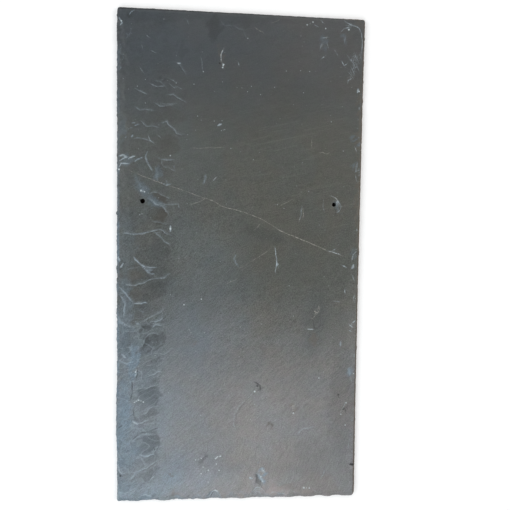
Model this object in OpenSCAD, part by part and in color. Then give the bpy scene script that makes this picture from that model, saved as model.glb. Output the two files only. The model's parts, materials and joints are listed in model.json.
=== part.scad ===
// Riven roofing slate, 20 x 10 inch, hand dressed and holed for two nails.
// Frame: X across the tile, Y from tail to head, Z from the bed up to the face.
// Origin: centre of the underside (the bed). All sizes are in millimetres.
// The face is the side that shows on the roof, and the dressing knife spalls its edges.

/* [Sheet] */
// Width across the tile
tile_width = 254; // [150:1:360]
// Length from tail to head
tile_length = 508; // [250:1:610]
// Thickness of the split sheet
thickness = 6; // [4:0.5:10]
// How far the right side is hollow at mid length
side_hollow = 1; // [0:0.1:2]
// Radius of the tail's left corner
tail_left_radius = 2; // [0.5:0.5:6]
// Radius of the tail's right corner
tail_right_radius = 4; // [0.5:0.5:6]
// Radius of the head's right corner
head_right_radius = 2.5; // [0.5:0.5:6]
// Radius of the head's left corner
head_left_radius = 2.5; // [0.5:0.5:6]

/* [Dressed edges] */
// Width of the bevel along the right side
side_bevel_width = 3; // [1:0.5:6]
// Depth of the bevel along the right side
side_bevel_depth = 1.5; // [0.5:0.1:3]
// Width of the bevel along the head
head_bevel_width = 1.5; // [1:0.5:6]
// Depth of the bevel along the head
head_bevel_depth = 1; // [0.5:0.1:3]
// Width of the bevel along the tail
tail_bevel_width = 3; // [1:0.5:6]
// Depth of the bevel along the tail
tail_bevel_depth = 1.5; // [0.5:0.1:3]
// Distance between the knife's chips along the tail
chip_pitch = 19; // [14:0.5:30]
// How far the longest chip runs in from the tail
chip_reach = 7; // [4:0.5:9]
// How far a chip goes down from the face
chip_depth = 2.6; // [1:0.1:3]
// Radius of the ball that shapes a chip
chip_radius = 14; // [10:0.5:20]

/* [Flaked margin] */
// Width of the feathered strip along the left edge
strip_width = 14; // [8:0.5:20]
// Depth of the feathered strip at the left edge
strip_depth = 2.2; // [1:0.1:3]
// Distance between the peeled tongues along the left edge
tongue_pitch = 25; // [20:0.5:40]
// Length of a peeled tongue
tongue_length = 50; // [30:1:60]
// Width of a peeled tongue
tongue_width = 18; // [10:0.5:19]
// Rise of a tongue from the edge towards the middle, in degrees
tongue_slant = 26; // [10:1:35]
// Thickness of the layer that came away in a tongue
layer_depth = 0.4; // [0.2:0.1:1]

/* [Nail holes] */
// Height of both holes above the tail
hole_above_tail = 315; // [150:1:400]
// Distance of the left hole from the left edge
left_hole_inset = 25.5; // [22:0.5:50]
// Diameter of the left hole
left_hole_diameter = 5; // [3.5:0.1:7]
// Diameter of the left hole's spall on the face
left_spall_diameter = 9; // [8:0.5:16]
// Depth of the left hole's spall
left_spall_depth = 1; // [0.5:0.1:2]
// Distance of the right hole from the right edge
right_hole_inset = 28.5; // [22:0.5:50]
// Diameter of the right hole
right_hole_diameter = 4.5; // [3.5:0.1:7]
// Diameter of the right hole's spall on the face
right_spall_diameter = 16; // [8:0.5:24]
// Depth of the right hole's spall
right_spall_depth = 1.6; // [0.5:0.1:2]

/* [Hidden] */

half_width = tile_width / 2;
half_length = tile_length / 2;

// Cutters run this far past the surface that they cut.
past = 1;

// Steps of a rounded corner, of the hollow side and around a tongue.
corner_steps = 5;
side_steps = 12;
tongue_steps = 28;

// How strongly one tongue or chip differs from the next.
wander = 0.12;

// Turn between the tongues' variations, and between the chips', in degrees.
tongue_turn = 137;
chip_turn = 101;

tongue_count = floor((tile_length - tongue_length) / tongue_pitch) + 1;
chip_count = floor((tile_width - 2 * chip_radius) / chip_pitch) + 1;

// Points of a corner's arc, anticlockwise from the start angle.
function corner_points(centre, radius, start) = [
    for (i = [0 : corner_steps])
        let (angle = start + 90 * i / corner_steps)
        centre + radius * [cos(angle), sin(angle)]
];

// How far the right side lies inside the full width at a height above the middle.
function hollow_at(y) = side_hollow * (1 - pow(y / half_length, 2));

// Points of the right side between its two corners, from tail to head.
function side_points() = [
    for (i = [1 : side_steps - 1])
        let (y = half_length * (2 * i / side_steps - 1))
        [half_width - hollow_at(y), y]
];

// The tile's plan: four rounded corners, with the right side slightly hollow.
module plan() {
    polygon(concat(
        corner_points([-half_width + tail_left_radius, -half_length + tail_left_radius],
                      tail_left_radius, 180),
        corner_points([half_width - tail_right_radius, -half_length + tail_right_radius],
                      tail_right_radius, 270),
        side_points(),
        corner_points([half_width - head_right_radius, half_length - head_right_radius],
                      head_right_radius, 0),
        corner_points([-half_width + head_left_radius, half_length - head_left_radius],
                      head_left_radius, 90)
    ));
}

// A wedge that bevels an edge lying along Y at x = 0, with the tile on its -X side.
module bevel_cutter(run, width, depth) {
    slope = depth / width;
    translate([0, run / 2 + past, 0])
        rotate([90, 0, 0])
            linear_extrude(height = run + 2 * past)
                polygon([
                    [-width - past, thickness + past * slope],
                    [past, thickness - depth - past * slope],
                    [past, thickness + past],
                    [-width - past, thickness + past]
                ]);
}

// The bevels that the dressing knife leaves round the face.
module edge_bevels() {
    translate([half_width, 0, 0])
        bevel_cutter(tile_length, side_bevel_width, side_bevel_depth);
    translate([0, half_length, 0])
        rotate([0, 0, 90])
            bevel_cutter(tile_width, head_bevel_width, head_bevel_depth);
    translate([0, -half_length, 0])
        rotate([0, 0, -90])
            bevel_cutter(tile_width, tail_bevel_width, tail_bevel_depth);
    translate([-half_width, 0, 0])
        rotate([0, 0, 180])
            bevel_cutter(tile_length, strip_width, strip_depth);
}

// The row of shell-shaped chips along the tail. Each is the cap of a ball that dips
// chip_depth into the face, and its rim on the face reaches in from the tail.
module tail_chips() {
    rim_radius = sqrt(pow(chip_radius, 2) - pow(chip_radius - chip_depth, 2));
    for (i = [0 : chip_count - 1]) {
        along = (i - (chip_count - 1) / 2) * chip_pitch;
        reach = chip_reach * (1 - wander * (1 + cos(i * chip_turn)));
        translate([along, -half_length + reach - rim_radius, thickness + chip_radius - chip_depth])
            sphere(r = chip_radius, $fn = 48);
    }
}

// Outline of one peeled tongue, a long oval that leans towards the head.
module tongue(length, width) {
    polygon([
        for (i = [0 : tongue_steps - 1])
            let (angle = 360 * i / tongue_steps)
            [length / 2 * cos(angle), width / 2 * sin(angle)]
    ]);
}

// The layer that has peeled away in tongues along the left side.
module peeled_tongues() {
    translate([0, 0, thickness - layer_depth])
        linear_extrude(height = layer_depth + past)
            for (i = [0 : tongue_count - 1]) {
                length = tongue_length * (1 - wander * (1 + cos(i * tongue_turn)));
                width = tongue_width * (1 - wander * (1 + sin(i * tongue_turn)));
                along = (i - (tongue_count - 1) / 2) * tongue_pitch;
                translate([-half_width + tongue_length / 2, along])
                    rotate(tongue_slant)
                        tongue(length, width);
            }
}

// A nail hole punched from the bed, with the cone that it spalls out of the face.
module nail_hole(x, diameter, spall_diameter, spall_depth) {
    flare = (spall_diameter - diameter) / 2 / spall_depth;
    translate([x, hole_above_tail - half_length, 0]) {
        translate([0, 0, -past])
            cylinder(h = thickness + 2 * past, d = diameter, $fn = 48);
        translate([0, 0, thickness - spall_depth])
            cylinder(h = spall_depth + past, d1 = diameter,
                     d2 = spall_diameter + 2 * flare * past, $fn = 48);
    }
}

// The whole tile is one piece of split stone.
module slate_tile() {
    color("dimgray")
        difference() {
            linear_extrude(height = thickness) plan();
            edge_bevels();
            tail_chips();
            peeled_tongues();
            nail_hole(-half_width + left_hole_inset, left_hole_diameter,
                      left_spall_diameter, left_spall_depth);
            nail_hole(half_width - right_hole_inset, right_hole_diameter,
                      right_spall_diameter, right_spall_depth);
        }
}

slate_tile();
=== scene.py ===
"""Riven roofing slate: one sheet of split stone, dressed by hand and holed for two nails.

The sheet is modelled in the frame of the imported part: X across the tile, Y from its tail to its
head, Z from the bed up to the face. Lengths are millimetres until they reach a mesh or a light,
and places on the face are measured from the left edge and up from the tail, as a slater would.
"""

import json
import logging
import math
from collections.abc import Iterable
from dataclasses import dataclass
from enum import Enum

import bmesh
import bpy
import numpy as np
from mathutils import Matrix, Vector


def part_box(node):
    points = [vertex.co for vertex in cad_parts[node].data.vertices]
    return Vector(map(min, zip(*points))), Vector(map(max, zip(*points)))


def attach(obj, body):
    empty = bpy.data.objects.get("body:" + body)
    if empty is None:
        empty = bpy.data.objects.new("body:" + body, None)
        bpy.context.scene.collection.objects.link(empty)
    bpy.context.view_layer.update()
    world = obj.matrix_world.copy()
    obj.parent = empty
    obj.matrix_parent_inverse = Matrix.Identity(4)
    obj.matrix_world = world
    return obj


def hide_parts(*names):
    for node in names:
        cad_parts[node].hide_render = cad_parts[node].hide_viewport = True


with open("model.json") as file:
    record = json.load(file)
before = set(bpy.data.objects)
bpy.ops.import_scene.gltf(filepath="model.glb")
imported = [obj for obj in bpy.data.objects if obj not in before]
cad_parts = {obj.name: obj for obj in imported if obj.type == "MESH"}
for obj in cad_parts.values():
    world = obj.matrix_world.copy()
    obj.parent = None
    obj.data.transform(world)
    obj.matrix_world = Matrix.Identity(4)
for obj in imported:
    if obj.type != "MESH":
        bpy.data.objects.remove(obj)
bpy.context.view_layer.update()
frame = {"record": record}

log = logging.getLogger("slate")

MM = 0.001
NODE = "slate_tile"
BODY = "root"

Triple = tuple[float, float, float]
Colour = Triple
Socket = bpy.types.NodeSocket
Numbers = np.ndarray
Pair = tuple[Numbers, Numbers]
Verts = list[bmesh.types.BMVert]
Edges = list[bmesh.types.BMEdge]


class Mark(Enum):
    """The kinds of line that splitting, weather and handling leave on the face."""

    RIM = "rim"
    SCORE = "score"
    CRACK = "crack"
    GRAZE = "graze"


class Side(Enum):
    """The four sides of the sheet."""

    LEFT = "left"
    RIGHT = "right"
    TAIL = "tail"
    HEAD = "head"


def smooth_ramp(value: Numbers, low: float, high: float) -> Numbers:
    """Ease from 0 at low to 1 at high.

    Args:
        value: The numbers to ease.
        low: Where the ramp starts.
        high: Where the ramp ends; it may be below low.

    Returns:
        The eased numbers, from 0 to 1.
    """
    t = np.clip((value - low) / (high - low), 0.0, 1.0)
    return t * t * (3.0 - 2.0 * t)


def pairs(numbers: list[float]) -> tuple[tuple[float, float], ...]:
    """Return a row of numbers two by two, as places."""
    return tuple(zip(numbers[::2], numbers[1::2]))


def spots(verts: Verts) -> Pair:
    """Return where some vertices lie across and up."""
    return np.array([vert.co.x for vert in verts]), np.array([vert.co.y for vert in verts])


def edge_gaps(x: Numbers, y: Numbers, width: float, length: float) -> dict[Side, Numbers]:
    """Return the distance from each place to each side of a sheet centred on the origin."""
    return {Side.LEFT: x + width / 2, Side.RIGHT: width / 2 - x,
            Side.TAIL: y + length / 2, Side.HEAD: length / 2 - y}


@dataclass(frozen=True)
class Roughcast:
    """A smooth random field over the sheet, the same on every run.

    Attributes:
        seed: Which field it is.
        along: Distance between its swells along the grain, in millimetres.
        across: Distance between its swells across the grain, in millimetres.
        grain: Direction of the grain, in degrees from X.
        octaves: How many finer copies are added, each half the size and strength.
        period: Cells after which the field repeats.
        gain: What brings its values to about -1 to 1.
        shift: Cells by which each finer copy is moved, so that the copies don't line up.
    """

    seed: int
    along: float
    across: float
    grain: float = 0.0
    octaves: int = 1
    period: int = 256
    gain: float = 1.4
    shift: float = 37.3

    def at(self, x: Numbers, y: Numbers) -> Numbers:
        """Read the field.

        Args:
            x: Places across the sheet.
            y: Places up the sheet.

        Returns:
            Values from about -1 to 1.
        """
        table = np.random.default_rng(self.seed).uniform(-1.0, 1.0, (self.period, self.period))
        turn = math.radians(self.grain)
        u = (x * math.cos(turn) + y * math.sin(turn)) / self.along
        v = (y * math.cos(turn) - x * math.sin(turn)) / self.across
        total = np.zeros_like(x)
        for octave in range(self.octaves):
            scale = 2.0 ** octave
            shift = self.shift * octave
            total += self._cell_blend(table, u * scale + shift, v * scale - shift) / scale
        return total * self.gain

    def _cell_blend(self, table: Numbers, u: Numbers, v: Numbers) -> Numbers:
        """Blend a table's values smoothly between its cells.

        Args:
            table: Square table of random values, repeated without end.
            u: Column numbers, with fractions.
            v: Row numbers, with fractions.

        Returns:
            The blended values.
        """
        column = np.floor(u).astype(int)
        row = np.floor(v).astype(int)
        share = smooth_ramp(u - column, 0.0, 1.0)
        rise = smooth_ramp(v - row, 0.0, 1.0)
        bottom, top = (
            table[column % self.period, line % self.period] * (1.0 - share)
            + table[(column + 1) % self.period, line % self.period] * share
            for line in (row, row + 1))
        return bottom * (1.0 - rise) + top * rise


@dataclass(frozen=True)
class Stroke:
    """A line on the face, through points given from the left edge and up from the tail.

    Attributes:
        points: The line's corners, in millimetres.
        strength: How strongly it shows, 0 to 1.
        drop: How far the sheet steps down on the line's right-hand side.
        reach: How far from the line the step has run out again.
    """

    points: tuple[tuple[float, float], ...]
    strength: float
    drop: float = 0.0
    reach: float = 9.0

    def near(self, x: Numbers, y: Numbers, reach: float) -> Numbers:
        """Tell which places lie near the box round the line.

        Args:
            x: Places across, from the left edge.
            y: Places up, from the tail.
            reach: How far from the box is still near.

        Returns:
            True for each place that is.
        """
        left, low = np.min(self.points, axis=0)
        right, high = np.max(self.points, axis=0)
        return (x > left - reach) & (x < right + reach) & (y > low - reach) & (y < high + reach)

    def nearest(self, x: Numbers, y: Numbers) -> Pair:
        """Measure places against the line.

        Args:
            x: Places across, from the left edge.
            y: Places up, from the tail.

        Returns:
            The distance, positive on the line's left-hand side, and the share of the line's
            length, 0 to 1, at the nearest point.
        """
        corners = np.array(self.points, float)
        start = corners[:-1]
        step = corners[1:] - start
        length = np.hypot(step[:, 0], step[:, 1])
        before = np.concatenate(([0.0], np.cumsum(length)[:-1]))
        dx = x[:, None] - start[None, :, 0]
        dy = y[:, None] - start[None, :, 1]
        share = np.clip((dx * step[:, 0] + dy * step[:, 1]) / length ** 2, 0.0, 1.0)
        gap = np.hypot(dx - share * step[:, 0], dy - share * step[:, 1])
        side = np.sign(step[:, 0] * dy - step[:, 1] * dx)
        best = np.argmin(gap, axis=1)
        rows = np.arange(len(x))
        along = (before[best] + share[rows, best] * length[best]) / length.sum()
        return gap[rows, best] * np.where(side[rows, best] < 0.0, -1.0, 1.0), along


@dataclass(frozen=True)
class Smear(Stroke):
    """A soft pale streak of bruised or freshly flaked stone.

    Attributes:
        half_width: Half its width.
    """

    half_width: float = 1.0

    def cover(self, x: Numbers, y: Numbers) -> Numbers:
        """Work out how strongly the streak shows.

        Args:
            x: Places across, from the left edge.
            y: Places up, from the tail.

        Returns:
            Its strength at each place.
        """
        near = self.near(x, y, self.half_width * 2.0)
        gap, along = self.nearest(x[near], y[near])
        taper = 0.55 + 0.45 * np.sin(np.pi * np.clip(along, 0.0, 1.0))
        shade = np.zeros_like(x)
        shade[near] = self.strength * smooth_ramp(np.abs(gap), self.half_width * taper * 1.5, 0.0)
        return shade


@dataclass(frozen=True)
class Oval:
    """A long oval on the face.

    Attributes:
        x: Its middle, from the left edge.
        y: Its middle, up from the tail.
        length: Its length.
        width: Its width.
        slant: Direction of its length, in degrees from X.
    """

    x: float
    y: float
    length: float
    width: float
    slant: float

    def turned(self, x: Numbers, y: Numbers) -> Pair:
        """Measure places along and across the oval.

        Args:
            x: Places across the sheet.
            y: Places up the sheet.

        Returns:
            The places along it, 1 at its tip, and across it, 1 at its side.
        """
        turn = math.radians(self.slant)
        u = ((x - self.x) * math.cos(turn) + (y - self.y) * math.sin(turn)) / (self.length / 2)
        v = ((y - self.y) * math.cos(turn) - (x - self.x) * math.sin(turn)) / (self.width / 2)
        return u, v


@dataclass(frozen=True)
class Patch(Oval):
    """A soft-edged stain or bloom.

    Attributes:
        strength: How strongly it shows, 0 to 1.
    """

    strength: float

    def cover(self, x: Numbers, y: Numbers) -> Numbers:
        """Return the patch's strength at each place."""
        return self.strength * smooth_ramp(np.hypot(*self.turned(x, y)), 1.25, 0.45)


@dataclass(frozen=True)
class Tongue(Oval):
    """A long oval scar where one thin layer has peeled off.

    Attributes:
        depth: Thickness of the layer that has gone.
        shade: How much darker its floor is, 0 to 1.
        squareness: Power that makes its outline fuller than an ellipse.
    """

    depth: float
    shade: float
    squareness: float = 2.6

    def inside(self, x: Numbers, y: Numbers) -> Numbers:
        """Tell the inside of the scar from the outside, with a steep edge between them.

        Args:
            x: Places across the sheet.
            y: Places up the sheet.

        Returns:
            About 1 inside and 0 outside.
        """
        u, v = self.turned(x, y)
        radius = (np.abs(u) ** self.squareness + np.abs(v) ** self.squareness) ** (1.0 / self.squareness)
        edge = 1.0 / self.width
        return smooth_ramp(radius, 1.0 + edge, 1.0 - 1.5 * edge)

    def floor_shade(self, x: Numbers, y: Numbers) -> Numbers:
        """Return how dark the scar's floor is: strong at its tip, thin towards the left edge."""
        u, _ = self.turned(x, y)
        return self.shade * self.inside(x, y) * (0.25 + 0.75 * smooth_ramp(u, -1.0, 0.2))


@dataclass(frozen=True)
class Bite:
    """A shell-shaped chip, the cap of a ball that dips into the face.

    Attributes:
        x: Middle of the ball, from the left edge.
        y: Middle of the ball, up from the tail.
        rim: Radius of the chip on the face.
        depth: How far it goes down.
        frost: How pale and blue its fresh floor is, 0 to 1.
    """

    x: float
    y: float
    rim: float
    depth: float
    frost: float

    def dip(self, x: Numbers, y: Numbers) -> Numbers:
        """Work out how far the chip lowers the face.

        Args:
            x: Places across, from the left edge.
            y: Places up, from the tail.

        Returns:
            The drop at each place.
        """
        ball = (self.rim ** 2 + self.depth ** 2) / (2.0 * self.depth)
        gap = np.hypot(x - self.x, y - self.y)
        cap = np.sqrt(np.clip(ball ** 2 - gap ** 2, 0.0, None)) - (ball - self.depth)
        return np.clip(cap, 0.0, None)


@dataclass(frozen=True)
class Fleck:
    """A grain of quartz or a pit, seen as a spot; a pit's dark spot is painted shade.

    Attributes:
        x: Place from the left edge.
        y: Place up from the tail.
        radius: Size of the spot.
        strength: Pale when positive, dark when negative.
    """

    x: float
    y: float
    radius: float
    strength: float


# Rims of the flakes that have left the left margin, from the head down: how strongly each shows,
# how far the sheet steps down below it, then its corners.
RIMS = tuple(Stroke(pairs(row), strength, drop) for strength, drop, *row in (
    (0.35, 0.1, 62, 453, 67, 448, 70, 443), (0.3, 0.08, 51, 440, 59, 436), (0.3, 0.08, 37, 437, 48, 432),
    (0.4, 0.1, 20, 428, 29, 424), (0.7, 0.2, 50, 424, 57, 423, 63, 419.5, 68, 415.5),
    (0.55, 0.15, 38, 414, 43, 412, 50, 412, 58, 414), (0.35, 0.12, 18, 410.5, 23, 407.5, 36, 407),
    (0.8, 0.25, 47, 396, 50, 396, 53, 393, 56, 390, 59, 385, 67, 384),
    (0.5, 0.15, 24, 395, 28, 391, 40, 391), (0.45, 0.12, 18, 379, 30, 378, 37, 374),
    (0.6, 0.2, 28.5, 361, 30, 356, 32, 350, 35, 346), (0.5, 0.15, 39, 360, 43, 357, 58, 358),
    (0.55, 0.2, 43, 357, 46, 350, 53, 349.5, 59, 346), (0.5, 0.1, 49, 337, 51, 333, 54, 333),
    (0.6, 0.2, 33, 322, 38, 324.5, 42, 323, 53, 318.5),
    (0.65, 0.22, 29, 317, 34, 315, 39, 312, 45, 310, 48, 305, 52, 301),
    (0.45, 0.12, 40, 312, 58, 312.5, 62, 313, 63, 309), (0.6, 0.15, 37, 294, 45, 292.5, 50, 292),
    (0.75, 0.25, 5, 281, 20, 281, 26, 280.5, 32, 283, 38, 285, 45, 284.5, 54, 281),
    (0.5, 0.15, 38, 282, 43, 279, 48, 274, 53, 271), (0.9, 0.3, 17, 257, 22, 251, 27, 246.5, 38, 247),
    (0.7, 0.2, 27, 246, 31, 242, 35, 240, 39, 240), (0.4, 0.1, 10, 244, 24, 246),
    (0.7, 0.25, 5, 230, 18, 228.5, 27, 230, 32, 233, 45, 235, 53, 240),
    (0.6, 0.15, 3, 219, 9, 219, 13, 214, 16, 210), (0.95, 0.15, 17, 208, 23, 209, 29, 210),
    (0.6, 0.15, 3, 217, 7, 211, 8, 205, 6, 195), (0.65, 0.2, 2, 195, 6, 187, 12, 185, 17, 186),
    (0.7, 0.3, 22, 188, 30, 192, 38, 198, 48, 203), (0.8, 0.15, 34, 189, 40, 190, 46, 194),
    (0.8, 0.15, 36, 184, 39, 187, 45, 186), (0.5, 0.12, 8, 179.5, 19, 180),
    (0.65, 0.2, 26, 164, 27, 172, 31, 177, 36, 178.5, 44, 178), (0.5, 0.15, 36, 160, 46, 166),
    (0.5, 0.15, 35, 157, 48, 156, 59, 161), (0.55, 0.12, 4, 149, 9, 147, 14, 149),
    (0.6, 0.15, 30, 142, 35, 144, 40, 145), (0.8, 0.2, 33, 133, 39, 136, 44, 137, 47, 136),
    (0.6, 0.2, 17, 118, 22, 119, 30, 120, 37, 122, 43, 128), (0.7, 0.2, 26, 92, 32, 96, 36, 99, 41, 101),
    (0.5, 0.15, 33, 87, 40, 90, 44, 92), (0.95, 0.25, 17, 85, 21, 81, 26, 82, 33, 85),
    (0.45, 0.15, 30, 71, 41, 76), (0.75, 0.25, 17, 63, 22, 68, 26, 70, 40, 70),
    (0.95, 0.2, 22, 48, 27, 47, 33, 47.5, 38, 49, 41, 53, 43, 57),
    (0.85, 0.25, 13, 23, 20, 29, 30, 34, 36, 39, 41, 43), (0.5, 0.12, 6, 14, 12, 17, 17, 20, 22, 22),
    (0.5, 0.1, 33, 20, 38, 24), (0.5, 0.12, 15, 12, 25, 18, 30, 20), (0.4, 0.1, 2, 52, 6, 47, 12, 49),
    (0.6, 0.15, 2, 33, 6, 28, 11, 29), (0.4, 0.1, 191, 68, 196, 73, 208, 76), (0.4, 0.1, 217, 18, 222, 27),
    (0.5, 0.12, 8, 6, 16, 12, 24, 17), (0.5, 0.1, 13, 7, 20, 11), (0.4, 0.1, 25, 7, 31, 12, 36, 15),
    (0.18, 0.12, 104, 500, 107, 495.5, 117, 494.5, 126, 491, 131, 484), (0.35, 0.1, 68, 500, 71, 495),
))

# Dark lines, in the same way: open cracks and the shadowed feet of flakes, with a short step.
CRACKS = tuple(Stroke(pairs(row), strength, drop, 3.0) for strength, drop, *row in (
    (0.7, 0, 98, 1, 99, 4, 101, 6.5), (0.9, 0.3, 15, 128, 16, 118, 15, 108),
    (0.7, 0.2, 18, 100, 18, 92, 20, 86), (0.8, 0.2, 21, 142, 22, 136, 21, 130),
    (0.8, 0.2, 29, 72, 36, 76, 41, 78), (0.7, 0.2, 17, 64, 22, 71, 30, 73, 40, 73),
    (0.3, 0.2, 85, 40, 90, 43, 96, 46), (0.75, 0.3, 147.5, 26, 148, 20, 147, 15),
    (0.35, 0, 148, 15, 152, 12, 156, 10), (1, 0.5, 247.5, 33.5, 250, 32, 255, 31),
    (0.7, 0, 234, 113, 236, 108), (0.7, 0, 241, 97, 243, 91), (0.6, 0, 86, 344, 86, 337),
    (0.35, 0, 140, 110, 130, 97, 125, 90, 124, 78), (0.7, 0.2, 143, 125, 150, 122, 150, 116),
    (0.9, 0.2, 1, 25.5, 4, 25.5), (0.6, 0, 3, 34, 6, 34), (0.7, 0, 2, 78, 5, 81), (0.7, 0, 10, 52, 12, 54),
    (0.6, 0, 38, 55, 40, 52), (0.6, 0, 204, 193, 206, 183), (0.35, 0, 226, 311, 227.5, 307, 227, 303),
    (0.3, 0, 207, 183, 214, 187), (0.4, 0, 28, 165, 28, 172, 31, 175),
))

# Thin pale scratches: how strongly each shows, then its corners. The first crosses the whole face.
SCORES = tuple(Stroke(pairs(row), strength) for strength, *row in (
    (0.55, 12, 346, 18, 343, 33, 338, 43, 334, 53, 331, 66, 327, 80, 322, 97, 316.5, 108, 311, 115, 309,
     128, 306, 145, 300, 153, 296, 168, 287, 175, 284, 193, 277, 203, 273, 213, 269, 220, 266, 240, 259),
    (0.9, 12, 346, 18, 343), (1, 43, 334, 53, 331), (0.95, 165, 288.5, 175, 284), (1, 185, 280, 195, 276),
    (0.9, 220, 266, 232, 262.5), (0.7, 98, 338.5, 101, 341), (0.8, 184.5, 99.5, 187.5, 99),
    (0.8, 184.5, 97, 187.5, 96.5), (0.7, 184.5, 94.5, 187, 94), (0.3, 140, 494, 147, 490),
    (0.2, 156, 500, 164, 504), (0.3, 73, 370, 84, 370.5, 92, 371, 108, 372),
    (0.4, 74, 312, 83, 315, 89, 318), (0.35, 113, 230, 124, 236), (0.25, 124, 246, 140, 255),
    (0.5, 192, 311, 193, 300), (0.5, 189, 300, 188, 297),
    (0.6, 209, 368.5, 212, 369.5, 216, 367.8, 219, 369), (0.4, 200, 382, 200, 375),
    (0.9, 200, 182, 205.5, 182), (0.45, 211.5, 209, 210.3, 205.5, 209.5, 203),
    (0.45, 212.5, 208, 212, 204, 211.3, 202), (0.9, 206.5, 202, 208, 200, 211, 200.5),
    (0.6, 202, 196, 204, 193, 209, 198), (1, 107, 472, 104, 466, 104.5, 459), (0.4, 147, 293, 141, 287),
    (0.3, 160, 269, 150, 261, 140, 255), (0.35, 168, 313, 181, 320), (0.4, 214, 489, 212, 484),
    (0.4, 210, 481, 208, 476), (0.8, 60, 455.5, 62, 454.5), (0.8, 18, 136, 20, 139, 22, 141),
    (0.3, 17, 105, 21, 107, 27, 105), (0.6, 222, 324, 228, 321, 231, 314),
))

# Fine pale lines that cut no depth, in the same way: grazes, and the edges of small shells.
GRAZES = tuple(Stroke(pairs(row), strength) for strength, *row in (
    (0.8, 220, 266, 232, 262.5), (0.6, 226, 267, 228, 268),
    (0.5, 222, 324, 226, 322.5, 229, 319.5, 233, 314), (0.7, 227.5, 319, 228.5, 315),
    (0.5, 233, 314, 232, 309, 229, 307), (1, 250, 218, 248.5, 215, 250, 212), (1, 245, 187, 248.5, 184.5),
    (0.9, 248, 189, 251, 191), (0.8, 245, 180.5, 247, 179.5), (0.85, 237, 443, 237.5, 445.5, 240, 446),
    (1, 236.5, 250, 239.5, 248.5), (0.9, 239, 225, 239, 221.5), (0.5, 247, 240, 249, 234),
    (0.7, 208.5, 466, 211.5, 468.5), (0.45, 207, 476, 208.5, 481), (0.4, 209, 487, 215, 488.5),
    (0.3, 214, 483, 216, 477), (0.75, 230.5, 464, 233, 460, 235.5, 462), (0.4, 232, 483, 233.5, 489),
    (0.55, 229, 494, 232, 497.5, 238, 500), (0.6, 240, 467, 245, 458), (0.5, 244, 474, 248, 464),
    (0.5, 241, 458, 244, 452), (0.3, 249, 474, 251, 466), (0.6, 201, 500, 203, 499),
    (0.7, 208, 504, 209, 503),
    (0.6, 233, 505, 237, 503, 244, 501, 248, 499, 251, 493, 251.5, 480, 250.5, 470),
    (0.5, 122, 459.5, 123, 455.5), (0.25, 214, 320, 213.5, 312, 215, 308), (0.35, 228, 212, 234, 211.5),
    (0.3, 190, 68, 198, 74, 208, 76), (0.3, 216, 18, 220, 22, 221, 27), (0.4, 248, 130, 250, 122),
    (1, 97, 2, 101, 8, 106, 7), (0.7, 103, 8, 109, 2),
    (0.5, 140, 1, 143, 6, 147, 10.5, 152, 9.5, 156, 6, 159, 1),
    (0.6, 145, 2.5, 147.5, 6.5, 150.5, 5.5, 153, 1.5),
    (0.5, 162, 1, 164.5, 4.5, 168, 4.5, 172, 2, 176, 3, 180, 1), (0.4, 210, 5, 215, 1),
    (0.35, 186, 5, 196, 2), (0.6, 147, 26, 150, 24), (0.6, 247, 375, 248, 372), (0.35, 248, 346, 249, 340),
    (0.6, 246, 256, 247, 262, 251, 266), (0.35, 246, 50, 249, 62), (0.35, 237, 90, 243, 102),
    (0.7, 98, 338, 101, 341), (0.45, 191, 312, 190, 304, 188.5, 298),
    (0.9, 163, 269, 164.3, 264, 165, 254, 164, 243), (0.6, 165.5, 253, 167, 251),
    (0.65, 107, 471, 104.5, 466, 104.5, 459), (0.65, 106, 457, 107, 453), (0.2, 84, 462, 86, 448),
    (0.25, 142, 114, 138, 109, 132, 104, 127, 98, 125, 92), (0.4, 127, 99, 123, 90, 122, 80, 124, 75),
    (1, 200, 182, 205.5, 182), (0.4, 6, 7, 12, 9, 18, 12.5, 25, 17), (0.35, 13, 5.5, 19, 10),
    (0.3, 22, 9, 28, 13), (0.5, 33, 20, 39, 26), (0.3, 236, 470, 240, 464), (0.4, 242, 472, 247, 460),
    (0.3, 238, 453, 243, 447), (0.35, 245, 464, 249, 455), (0.25, 222, 476, 226, 470),
    (0.35, 33, 434, 40, 431, 47, 432), (0.35, 53, 434, 58, 430), (0.3, 60, 432, 64, 429.5),
    (0.35, 19, 428, 28, 424), (0.2, 44, 415, 47, 414, 57, 414.5), (0.12, 28, 408, 35, 406.5),
    (0.2, 24, 396, 27, 393), (0.45, 31, 382, 33, 377, 37, 373.5), (0.3, 41, 382, 44, 379),
    (0.25, 23, 449, 26, 445), (0.3, 34, 467, 38, 465), (0.3, 29, 482, 31, 480.5), (0.25, 24, 472, 25, 468),
))

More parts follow.
